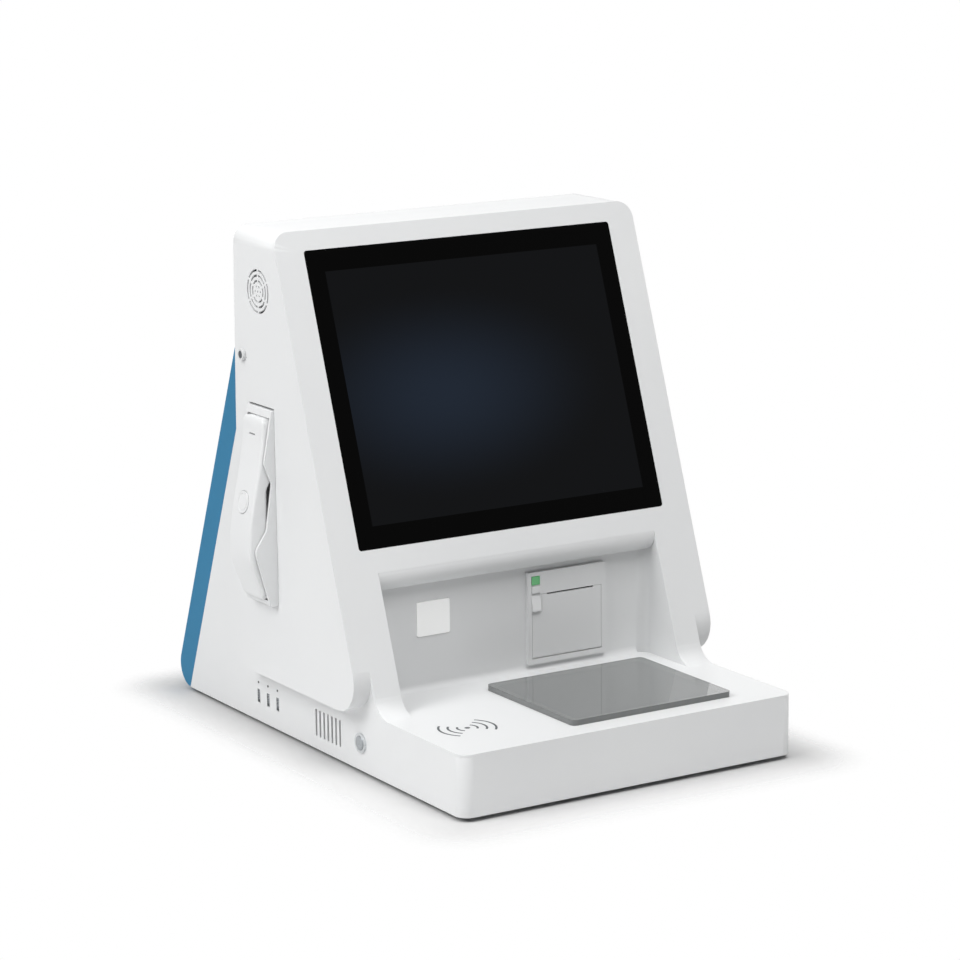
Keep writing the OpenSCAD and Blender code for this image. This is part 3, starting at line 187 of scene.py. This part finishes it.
def drift(tree, shader, shades, patch):
    """Colour that drifts between two shades, over patches of a size in millimetres."""
    where = add(tree, "ShaderNodeTexCoord").outputs["Object"]
    share = noise(tree, where, patch, DRIFT_DETAIL)
    mix = add(tree, "ShaderNodeMix", {"Factor": share}, data_type="RGBA")
    for side, shade in zip("AB", shades):
        mix.inputs[side].default_value = linear(shade)
    tree.links.new(mix.outputs["Result"], shader.inputs["Base Color"])
    return where


def grain(tree, shader, where, size, depth, rough):
    """A skin of a grain size and depth in millimetres, its roughness between two limits."""
    height = noise(tree, where, size, GRAIN_DETAIL)
    inputs = {"Height": height, "Strength": GRAIN_STRENGTH, "Distance": depth / MM}
    bump = add(tree, "ShaderNodeBump", inputs)
    tree.links.new(bump.outputs["Normal"], shader.inputs["Normal"])
    tree.links.new(remap(tree, height, (0, 1), rough), shader.inputs["Roughness"])


def grained(name, shades, patch, size, depth, rough, **sockets):
    """A whole material out of drift and grain."""
    material, tree, shader = start(name, **sockets)
    grain(tree, shader, drift(tree, shader, shades, patch), size, depth, rough)
    return material


print("drift and grain ready")

# %% [markdown]
# The housing is ABS, injection moulded in white and left with a fine satin skin. Its refractive
# index is near 1.5. Its grain is near 0.3 mm and too fine for this picture, so it is drawn at 1.2 mm
# and kept shallow: it only breaks up the highlights.

# %% White ABS
white_abs = grained("moulded_white_abs", ("#DEDFE0", "#E4E5E5"), patch=180, size=1.2, depth=0.05,
                    rough=(0.3, 0.42), IOR=1.5, Specular_IOR_Level=0.35)
print(white_abs.name)

# %% [markdown]
# The rear cover is moulded too, in a blue ABS with a matt spark-eroded skin. The photograph sees it
# almost edge on, where any shine would wash the blue out, so its reflection is kept low and its skin
# rough. The texture's pits are near 0.4 mm on the real cover, and are drawn at 1.6 mm to show at all.

# %% Blue ABS
blue_abs = grained("moulded_blue_abs", ("#2B7298", "#337DA4"), patch=140, size=1.6, depth=0.06,
                   rough=(0.5, 0.62), IOR=1.5, Specular_IOR_Level=0.2)
print(blue_abs.name)

# %% [markdown]
# The smaller pieces: matt black plastic, rubber feet and roller, thermal paper, lacquered circuit
# board, the milky acrylic window that lights a code held in front of it, and the printer's lamp, a
# pale green lens that glows a little by itself. Each drifts between two close shades and has a grain
# of its own.

# %% Small materials
OWN_GLOW = 0.12
black_plastic = grained("moulded_black_plastic", ("#1E1F21", "#2A2B2E"), patch=40, size=1.0,
                        depth=0.06, rough=(0.45, 0.6), IOR=1.5)
rubber = grained("moulded_rubber", ("#161616", "#202020"), patch=20, size=1.5, depth=0.1,
                 rough=(0.7, 0.85), IOR=1.52)
paper = grained("thermal_paper", ("#F4F3EE", "#FBFAF6"), patch=30, size=0.8, depth=0.02,
                rough=(0.6, 0.75), IOR=1.45)
board = grained("circuit_board_lacquer", ("#185238", "#22704C"), patch=12, size=2.0, depth=0.05,
                rough=(0.3, 0.5), IOR=1.5)
milky = grained("milky_acrylic", ("#F3F4F3", "#F9F9F8"), patch=20, size=2.0, depth=0.02,
                rough=(0.2, 0.3), IOR=1.49,
                Emission_Strength=OWN_GLOW, Emission_Color=linear("#FFFFFF"))
green_lens = grained("green_lamp_lens", ("#5FA870", "#76BC86"), patch=6, size=2.0, depth=0.03,
                     rough=(0.15, 0.3), IOR=1.49,
                     Emission_Strength=OWN_GLOW, Emission_Color=linear("#1FA64A"))
print("black plastic, rubber, paper, board, milky acrylic, green lens")

# %% [markdown]
# Brushed steel is drawn out along one direction: noise that is stretched forty times along X gives
# hairlines about 0.4 mm apart, which lift the surface and change its roughness from line to line.
# The lock's collar is steel too, but under a white coat, so it takes the plain grain of a sprayed
# skin instead.

# %% Steels
STRETCH, HAIRLINE, HAIRLINE_DEPTH, STEEL_PATCH = 40, 0.4, 0.02, 25


def brushed(name, shades, rough):
    """Metal with hairlines: noise on coordinates squeezed along X, so that its blobs become lines."""
    metal, tree, shader = start(name, Metallic=1.0)
    where = drift(tree, shader, shades, STEEL_PATCH)
    drawn = add(tree, "ShaderNodeMapping", {"Vector": where, "Scale": (1 / STRETCH, 1.0, 1.0)})
    grain(tree, shader, drawn.outputs["Vector"], HAIRLINE, HAIRLINE_DEPTH, rough)
    return metal


bright_steel = brushed("brushed_zinc_steel", ("#CBCED0", "#DADCDE"), rough=(0.2, 0.34))
satin_chrome = brushed("satin_chrome", ("#A2A6A9", "#B4B8BB"), rough=(0.14, 0.24))
dark_steel = brushed("dark_coated_steel", ("#5A5D61", "#6C6F73"), rough=(0.35, 0.5))
display_case = brushed("display_case_steel", ("#2B2C2E", "#3A3B3E"), rough=(0.4, 0.55))
coated_steel = grained("white_coated_steel", ("#CFD0D1", "#DADBDB"), patch=8, size=0.8, depth=0.03,
                       rough=(0.35, 0.45), IOR=1.5)
print(bright_steel.name, satin_chrome.name, dark_steel.name, display_case.name, coated_steel.name)

# %% [markdown]
# The screen is one sheet of glass, painted black behind its border, with the display showing through
# the rest. A dark display isn't quite black: it has a faint glow of its own. The picture here is a
# plain slate-blue glow that fades to the edges. The mask is worked out in the glass's own plane: x
# across, and up the slope by a dot product with the slope's direction. The glass has a layer against
# reflections, as the photograph's has: its border stays black in a white room.

# %% Touch glass
LEAN, SLOPE_FOOT_Y = math.radians(19.3), 140.7
GLASS_FOOT, GLASS_HEIGHT, PICTURE_W, PICTURE_H = 241, 317, 338, 270
GLOW_SHIFT, GLOW_STRETCH = (0.25, 0.05, 0), (0.8, 1.15, 1)
slope = np.array([0, math.sin(LEAN), math.cos(LEAN)])
glass_middle = place((0, SLOPE_FOOT_Y, 0) + (GLASS_FOOT + GLASS_HEIGHT / 2) * slope)
touch_glass, tree, shader = start("black_bordered_glass", Base_Color=linear("#010101"), IOR=1.52,
                                  Roughness=0.06, Specular_IOR_Level=0.03, Emission_Strength=1.0)
where = add(tree, "ShaderNodeTexCoord").outputs["Object"]
offset = vector(tree, "SUBTRACT", where, tuple(glass_middle))


def along(tree, offset, direction, half):
    """Distance from the glass's middle along a direction, as a share of the picture's half size."""
    distance = vector(tree, "DOT_PRODUCT", offset, tuple(direction), result="Value")
    return number(tree, "DIVIDE", distance, half / MM)


def inside(tree, share):
    """1 inside the picture's edge and 0 outside it."""
    return number(tree, "LESS_THAN", number(tree, "ABSOLUTE", share), 1.0)


across = along(tree, offset, (1, 0, 0), PICTURE_W / 2)
up = along(tree, offset, slope, PICTURE_H / 2)
lit = number(tree, "MULTIPLY", inside(tree, across), inside(tree, up))
spot = add(tree, "ShaderNodeCombineXYZ", {"X": across, "Y": up}).outputs["Vector"]
shift = {"Vector": spot, "Location": GLOW_SHIFT, "Scale": GLOW_STRETCH}
moved = add(tree, "ShaderNodeMapping", shift).outputs["Vector"]
reach = vector(tree, "LENGTH", moved, result="Value")
glow = add(tree, "ShaderNodeValToRGB", {"Fac": reach})
glow.color_ramp.interpolation = "EASE"
for stop, colour in zip(glow.color_ramp.elements, ("#1E2632", "#0E0F11")):
    stop.color = linear(colour)
picture = add(tree, "ShaderNodeMix", {"Factor": lit}, data_type="RGBA")
picture.inputs["A"].default_value = linear("#000000")
tree.links.new(glow.outputs["Color"], picture.inputs["B"])
tree.links.new(picture.outputs["Result"], shader.inputs["Emission Color"])
print("picture", PICTURE_W, "by", PICTURE_H, "mm")

# %% [markdown]
# The document plate is smoked glass over a dark camera box. Full transmission would need many light
# bounces to look right, and most of what shows in the photograph is the grey of the smoke and a
# mirror image of the printer, so the glass is mostly its own grey, under a clear polished coat that
# mirrors a second time.

# %% Smoked glass
smoked_glass, tree, shader = start("smoked_document_glass", IOR=1.52, Roughness=0.05,
                                   Transmission_Weight=0.35,
                                   Coat_Weight=1.0, Coat_IOR=1.52, Coat_Roughness=0.03)
drift(tree, shader, ("#747777", "#7E8180"), patch=120)
print(smoked_glass.name)

# %% [markdown]
# Each solid gets the material that its record slot names. The slots are few, so a table is clearer
# than a rule. Three small solids are finer than their slot says, and are dressed by name.

# %% Dress the solids
finishes = {
    "white_abs": white_abs, "cover_blue": blue_abs, "black_glass": touch_glass,
    "smoked_glass": smoked_glass, "white_diffuser": milky, "steel": bright_steel,
    "dark_steel": dark_steel, "display": display_case, "dark_plastic": black_plastic,
    "board": board, "lamp_green": green_lens, "paper": paper, "rubber": rubber,
}
for part in frame["record"]["subparts"]:
    mesh = nodes[part["node"]].data
    mesh.materials.clear()
    mesh.materials.append(finishes[part["material_slot"]])
own_finishes = {"lock_barrel": coated_steel, "lock_plug": dark_steel, "power_button": satin_chrome}
for name, material in own_finishes.items():
    nodes[name].data.materials[0] = material

# %% [markdown]
# No moulded or cut edge is perfectly sharp, and it is the thin highlight on a soft edge that makes a
# surface read as real. The solids are loose triangles, so Weld joins them before Bevel rounds every
# edge sharper than 30 degrees. Widths are in millimetres, and stay under half of the thinnest wall.

# %% Soften the edges
WELD_MM, BEVEL_STEPS, BEVEL_FROM = 0.01, 3, math.radians(30)
edge_widths = {
    "base_tray": 1.2, "front_cover": 1.4, "alcove_liner": 0.8, "side_cover_left": 1.0,
    "side_cover_right": 1.4, "hood": 1.2, "rear_door": 1.2, "touch_glass": 0.4, "scanner_glass": 1.6,
    "code_window": 0.6, "printer_bezel": 0.5, "printer_door": 0.4, "release_lever": 0.5,
    "feed_key": 0.5, "printer_lamp": 0.4, "handset_cradle": 1.0, "talk_button": 1.0,
    "lock_barrel": 0.5, "lock_plug": 0.3, "power_ring": 0.5, "power_button": 0.6, "rubber_feet": 0.8,
    "mains_inlet": 0.5, "usb_sockets": 0.1, "fan_rotor": 0.2, "fan_frame": 0.4, "bottom_plate": 0.4,
    "hinge_brackets": 0.5, "door_strike": 0.4, "lock_cam": 0.3, "platen_roller": 0.3,
    "paper_roll": 0.4, "printer_chassis": 0.4, "base_screws": 0.4,
}
for name, width in edge_widths.items():
    weld = nodes[name].modifiers.new("join", "WELD")
    weld.merge_threshold = WELD_MM / MM
    bevel = nodes[name].modifiers.new("soft edge", "BEVEL")
    bevel.width = width / MM
    bevel.segments = BEVEL_STEPS
    bevel.limit_method = "ANGLE"
    bevel.angle_limit = BEVEL_FROM
    bevel.harden_normals = True
print("softened", len(edge_widths), "solids")

# %% [markdown]
# The card zone carries a printed mark: a dot with three arcs on each side, as on many contactless
# readers. Printed ink is a very thin skin, so each arc is a flat band a twentieth of a millimetre
# thick: a rectangle carried along part of a circle. The dot is a band as wide as its own radius.

# %% Printed card mark
MARK_AT, MARK_RADII, MARK_WIDTH, MARK_SPREAD = (-146, 83, 65), (10.5, 20, 29.5), 2.4, 45
DOT_RADIUS, INK_THICK = 3.0, 0.05


def arc_band(radius, width, first, last, steps=40):
    """A rectangle of width by ink thickness, carried round a circle between two angles."""
    angle = np.radians(np.linspace(first, last, steps))
    rim = radius + np.array([-0.5, 0.5, 0.5, -0.5]) * width
    lift = np.array([0.0, 0.0, 1.0, 1.0]) * INK_THICK
    out_x, out_y = np.outer(np.cos(angle), rim), np.outer(np.sin(angle), rim)
    points = np.stack([out_x, out_y, np.broadcast_to(lift, out_x.shape)], axis=-1)
    ring = np.arange(4)
    after, base = (ring + 1) % 4, (np.arange(steps - 1) * 4)[:, None]
    quads = np.stack([base + ring, base + after, base + 4 + after, base + 4 + ring], axis=-1)
    ends = np.array([[3, 2, 1, 0], (steps - 1) * 4 + ring])
    return points.reshape(-1, 3) + MARK_AT, np.concatenate([quads.reshape(-1, 4), ends])[:, ::-1]


def build(name, patches, material):
    """One mesh object out of sets of points and faces, in millimetres on the ruler."""
    points, faces, count = [], [], 0
    for patch_points, *face_sets in patches:
        points.append(patch_points)
        for face_set in face_sets:
            faces.extend((face_set + count).tolist())
        count += len(patch_points)
    mesh = bpy.data.meshes.new(name)
    mesh.from_pydata(place(np.concatenate(points)).tolist(), [], faces)
    mesh.materials.append(material)
    mesh.validate()
    piece = bpy.data.objects.new(name, mesh)
    scene.collection.objects.link(piece)
    return piece


grey_ink = grained("screen_printed_ink", ("#4C4F52", "#5A5D60"), patch=8, size=0.6, depth=0.01,
                   rough=(0.5, 0.65), IOR=1.5)
arcs = [arc_band(radius, MARK_WIDTH, turn - MARK_SPREAD, turn + MARK_SPREAD)
        for radius in MARK_RADII for turn in (0, 180)]
dot = arc_band(DOT_RADIUS / 2, DOT_RADIUS, 0, 360, steps=25)
card_mark = build("card_mark", arcs + [dot], grey_ink)
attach(card_mark, "kiosk")
print("card mark", len(card_mark.data.polygons), "faces")

# %% [markdown]
# The handset is what a hand meets first: a moulded shell with a flat outer face, a belly at the chin,
# a thinner ear end, and an arch behind the grip that is deep enough for fingers, so that a dark gap
# shows beside it. Its edges are rounded by only a few millimetres, which keeps the face bright and
# its sides in shade. It could be sculpted or subdivided, but a rounded rectangle carried up the
# length, with its reach written as cosines, stays close to the solid that it stands for.

# %% Handset shell
shell_low, shell_high = (measure(corner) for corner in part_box("handset_shell"))
cheek_face = measure(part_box("side_cover_left")[0])[0]
SHELL_OUT, SHELL_SEAT = cheek_face - shell_low[0], cheek_face - shell_high[0]
SHELL_LENGTH, SHELL_HALF = shell_high[2] - shell_low[2], (shell_high[1] - shell_low[1]) / 2
shell_foot = np.array([cheek_face, (shell_high[1] + shell_low[1]) / 2, shell_low[2]])
EAR_OUT, CHIN_OUT = 0.37 * SHELL_OUT, 0.5 * SHELL_OUT
BELLY, CHIN_RUN = 51, 60
ARCH_FROM, ARCH_TO, ARCH_DEPTH, ARCH_RAMP = 58, 148, 20, 0.36
END_ROUND, FACE_ROUND, SEAT_ROUND = 8, 3.5, 5.0
OUTER_DRAW, INNER_DRAW = 0.3, 0.25
CORNER_STEPS, END_STEPS, GRIP_STEPS = 7, 7, 90


def half_cosine(share):
    """Eases from 1 at share 0 to 0 at share 1: half of one plus the cosine of pi times the share."""
    return (1 + np.cos(np.pi * share)) / 2


def outer_reach(up):
    """How far the outer face stands off the cheek: half cosines from the belly to ear and chin."""
    to_ear = EAR_OUT + (SHELL_OUT - EAR_OUT) * half_cosine((up - BELLY) / (SHELL_LENGTH - BELLY))
    to_chin = CHIN_OUT + (SHELL_OUT - CHIN_OUT) * half_cosine((BELLY - up) / CHIN_RUN)
    return np.where(up > BELLY, to_ear, to_chin)


def inner_reach(up):
    """How far the inner face stands off the cheek: its seat, and an arch with half-cosine ends."""
    share = (up - ARCH_FROM) / (ARCH_TO - ARCH_FROM)
    rise = np.clip(np.minimum(share, 1 - share) / ARCH_RAMP, 0, 1)
    return SHELL_SEAT + ARCH_DEPTH * (1 - half_cosine(rise))


def shell_rings(stations):
    """A rounded rectangle at each station: quarter circles with straight sides between them.

    Near both ends it is drawn in along a circle: by the end's radius less the square root of that
    radius squared less the square of the way gone into the end.
    """
    up = stations[:, None]
    to_end = np.minimum(up, SHELL_LENGTH - up)
    near = np.clip(END_ROUND - to_end, 0, END_ROUND)
    drawn = END_ROUND - np.sqrt(END_ROUND ** 2 - near ** 2)
    half = SHELL_HALF - drawn
    far, close = outer_reach(up) - OUTER_DRAW * drawn, inner_reach(up) + INNER_DRAW * drawn
    quarter = np.linspace(0, np.pi / 2, CORNER_STEPS)
    turn = np.concatenate([quarter + k * np.pi / 2 for k in range(4)])
    aside, ahead = np.repeat([[1, -1, -1, 1], [1, 1, -1, -1]], CORNER_STEPS, axis=1)
    bend = np.where(ahead > 0, FACE_ROUND, SEAT_ROUND) * np.minimum(1, (to_end + 1) / END_ROUND)
    out = (far + close) / 2 + ahead * ((far - close) / 2 - bend) + bend * np.sin(turn)
    across = aside * (half - bend) + bend * np.cos(turn)
    return np.stack([-out, across, up + 0 * out], axis=-1) + shell_foot


def skin(rings):
    """Points, the quads between neighbouring rings, and one many-sided face at each end."""
    count, sides = rings.shape[:2]
    side = np.arange(sides)
    base, after = np.arange(count - 1)[:, None] * sides, (side + 1) % sides
    quads = np.stack([base + side, base + after, base + sides + after, base + sides + side], axis=-1)
    ends = np.array([side[::-1], side + (count - 1) * sides])
    return rings.reshape(-1, 3), quads.reshape(-1, 4), ends


end_part = END_ROUND * (1 - np.cos(np.linspace(0, np.pi / 2, END_STEPS)))
grip_part = np.linspace(END_ROUND, SHELL_LENGTH - END_ROUND, GRIP_STEPS)[1:-1]
stations = np.concatenate([end_part, grip_part, SHELL_LENGTH - end_part[::-1]])
handset = build("handset_moulding", [skin(shell_rings(stations))], white_abs)
print("handset", len(handset.data.polygons), "faces before its bores")

# %% [markdown]
# The shell has holes: a bore for the talk button with a small chamfer at its mouth, seats for the two
# speaker discs on its inner face, and a narrow hook slot near the ear. Each is a turned or boxed form
# that a Boolean takes out of the shell, and then the cutter is thrown away.

# %% Handset's bores
TALK_UP, TALK_R, TALK_DEPTH, CHAMFER = 104, 12, 7.8, 0.9
EAR_UP, MOUTH_UP, DISC_R, DISC_DEPTH = SHELL_LENGTH - 24, 26, 14, 3.05
SLOT_UP, SLOT_DEPTH, SLOT_HALF_W, SLOT_HALF_T = 176, 5.0, 6.5, 0.8
CUT_PAST, SEAT_PAST, BORE_SIDES, CREASE = 4, 1, 64, math.radians(35)


def turned(entry, direction, depths, radii):
    """Rings of given depths and radii round an axis in the handset's mid-plane, from its entry."""
    axis = np.array(direction) / np.linalg.norm(direction)
    spin = np.linspace(0, 2 * np.pi, BORE_SIDES, endpoint=False)[:, None]
    spoke = np.cos(spin) * (0, 1, 0) + np.sin(spin) * np.cross(axis, (0, 1, 0))
    depths, radii = (np.array(values)[:, None, None] for values in (depths, radii))
    return shell_foot + entry + depths * axis + radii * spoke


talk_lean = math.atan((outer_reach(TALK_UP - 1) - outer_reach(TALK_UP + 1)) / 2)
talk_mouth = (-outer_reach(TALK_UP), 0, TALK_UP)
talk_bore = turned(talk_mouth, (math.cos(talk_lean), 0, -math.sin(talk_lean)),
                   (-CUT_PAST, CHAMFER, TALK_DEPTH), (TALK_R + CHAMFER + CUT_PAST, TALK_R, TALK_R))
disc_seats = [turned((-SHELL_SEAT, 0, up), (-1, 0, 0), (-SEAT_PAST, DISC_DEPTH), (DISC_R, DISC_R))
              for up in (EAR_UP, MOUTH_UP)]
slot_mouth = shell_foot + (-outer_reach(SLOT_UP), 0, SLOT_UP)
slot_box = slot_mouth + np.array([[(depth, side * SLOT_HALF_W, lift * SLOT_HALF_T)
                                   for side, lift in ((-1, -1), (1, -1), (1, 1), (-1, 1))]
                                  for depth in (-CUT_PAST, SLOT_DEPTH)])
bores = [skin(rings) for rings in (talk_bore, *disc_seats, slot_box)]
cutter = build("bore_cutter", bores, white_abs)
cut = handset.modifiers.new("bores", "BOOLEAN")
cut.object, cut.operation, cut.solver = cutter, "DIFFERENCE", "EXACT"
bored = handset.evaluated_get(bpy.context.evaluated_depsgraph_get())
handset.data = bpy.data.meshes.new_from_object(bored)
handset.modifiers.clear()
bpy.data.objects.remove(cutter)
handset.data.polygons.foreach_set("use_smooth", np.ones(len(handset.data.polygons), bool))
handset.data.set_sharp_from_angle(angle=CREASE)
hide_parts("handset_shell")
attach(handset, "handset")
print("handset", len(handset.data.polygons), "faces after its bores")

# %% [markdown]
# The studio is a pale floor and plain soft light. The surroundings are white for the camera, for
# reflections and for what glass lets through. As a source of light they come in three bands instead:
# a bright ceiling, dark walls and a dim glow from below. Light from above is what shades the wall
# under the screen and the underside of the cheeks, and an even white all round would wash that away.

# %% White surroundings
CEILING_LEVEL, WALL_LEVEL, LOW_LEVEL, SEEN_LEVEL = 0.95, 0.0, 0.55, 1.0
HORIZON_BAND, CEILING_BAND = (-0.05, 0.05), (0.55, 0.8)


def looked_at(tree):
    """1 for a ray that shows something, straight, mirrored or through glass, else 0."""
    path = add(tree, "ShaderNodeLightPath").outputs
    shown = number(tree, "MAXIMUM", path["Is Camera Ray"], path["Is Glossy Ray"])
    return number(tree, "MAXIMUM", shown, path["Is Transmission Ray"])


world = bpy.data.worlds.new("studio")
scene.world = world
world.use_nodes = True
tree = world.node_tree
way = add(tree, "ShaderNodeTexCoord").outputs["Generated"]
high = add(tree, "ShaderNodeSeparateXYZ", {"Vector": way}).outputs["Z"]
walls = remap(tree, high, HORIZON_BAND, (LOW_LEVEL, WALL_LEVEL))
lighting = remap(tree, high, CEILING_BAND, (walls, CEILING_LEVEL))
strength = remap(tree, looked_at(tree), (0, 1), (lighting, SEEN_LEVEL))
background = tree.nodes["Background"]
background.inputs["Color"].default_value = linear("#FFFFFF")
tree.links.new(strength, background.inputs["Strength"])
print("light from ceiling", CEILING_LEVEL, "walls", WALL_LEVEL, "below", LOW_LEVEL)

# %% [markdown]
# A studio floor is often a sheet of paper that curves up behind the object, so that no horizon shows.
# Here the paper fades from sight instead, over a hand's breadth round the kiosk's foot, and the white
# surroundings show beyond. Only the sight of it fades: it throws light back over its whole width, as
# white paper does. The camera sees it as a greyer paper that turns white over that hand's breadth.
# This is a painted shadow round the foot, added to the shadow that the lamps cast on it.
# Distance is counted from the foot's outline: how far a point lies past the half size along each
# axis, joined into one length.

# %% Floor
FLOOR_HALF, FADE_OVER, FIBRE_PATCH = 0.75, 0.085, 300
FLOOR_BOUNCE, FLOOR_SEEN_PAINTED_SHADE = 0.85, (0.62, 0.64)
foot_boxes = np.array([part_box(name) for name in ("base_tray", "rear_door")])[:, :, :2]
foot_low, foot_high = foot_boxes[:, 0].min(axis=0), foot_boxes[:, 1].max(axis=0)
foot_middle, foot_half = (foot_low + foot_high) / 2, (foot_high - foot_low) / 2
floor_paper, tree, shader = start("matt_white_floor_paper", Roughness=0.9, Specular_IOR_Level=0.1)
where = add(tree, "ShaderNodeTexCoord").outputs["Object"]
seen = looked_at(tree)
# Painted shadow: the grey that the camera sees here, with a little fibre tone, darkens a ring round
# the foot.
fibres_and_painted_shade = remap(tree, noise(tree, where, FIBRE_PATCH, DRIFT_DETAIL), (0, 1), FLOOR_SEEN_PAINTED_SHADE)
tree.links.new(remap(tree, seen, (0, 1), (FLOOR_BOUNCE, fibres_and_painted_shade)), shader.inputs["Base Color"])
aside = vector(tree, "ABSOLUTE", vector(tree, "SUBTRACT", where, (*foot_middle, 0)))
past = vector(tree, "MAXIMUM", vector(tree, "SUBTRACT", aside, (*foot_half, 0)), (0, 0, 0))
reach = vector(tree, "LENGTH", past, result="Value")
# The fade to white over this width shapes the painted shadow round the foot.
painted_shade_gone = remap(tree, reach, (0, FADE_OVER), (0, 1), interpolation_type="SMOOTHSTEP")
clear = add(tree, "ShaderNodeBsdfTransparent").outputs["BSDF"]
shaders = {0: number(tree, "MULTIPLY", painted_shade_gone, seen), 1: shader.outputs["BSDF"], 2: clear}
faded = add(tree, "ShaderNodeMixShader", shaders).outputs["Shader"]
tree.links.new(faded, tree.nodes["Material Output"].inputs["Surface"])
mesh = bpy.data.meshes.new("floor")
corners = FLOOR_HALF * np.array([(-1, -1, 0), (1, -1, 0), (1, 1, 0), (-1, 1, 0)])
mesh.from_pydata(corners.tolist(), [], [(0, 1, 2, 3)])
mesh.materials.append(floor_paper)
floor = bpy.data.objects.new("floor", mesh)
scene.collection.objects.link(floor)
print("floor fades over", FADE_OVER, "m round the kiosk's foot")

# %% [markdown]
# A lamp's power says little by itself, because light thins out with distance. So each lamp is given
# by the level at which a white card that faces it would show, and the power follows: level times pi
# squared times distance squared, from a lamp that sends power over pi into each unit of solid angle.

# %% Lamps
LAMP_AWAY, LAMP_SIZE, AIM_HEIGHT = 2.5, 1.4, 0.25


def softbox(name, direction, level):
    """A square lamp in a direction from the kiosk's middle, facing it, lighting a card to a level."""
    lamp = bpy.data.objects.new(name, bpy.data.lights.new(name, "AREA"))
    lamp.data.shape = "SQUARE"
    lamp.data.size = LAMP_SIZE
    lamp.data.energy = level * math.pi ** 2 * LAMP_AWAY ** 2
    away = np.array(direction) / np.linalg.norm(direction)
    side = np.cross((0, 0, 1), away)
    side = side / np.linalg.norm(side)
    axes = np.column_stack([side, np.cross(away, side), away])
    stand = Matrix.Translation(away * LAMP_AWAY + (0, 0, AIM_HEIGHT))
    lamp.matrix_world = stand @ Matrix(axes.tolist()).to_4x4()
    scene.collection.objects.link(lamp)


softbox("left_softbox", (-0.8, -0.05, 0.6), level=0.62)
softbox("front_softbox", (0.0, -0.55, 0.83), level=0.46)
print("studio lamps", len(bpy.data.lights))
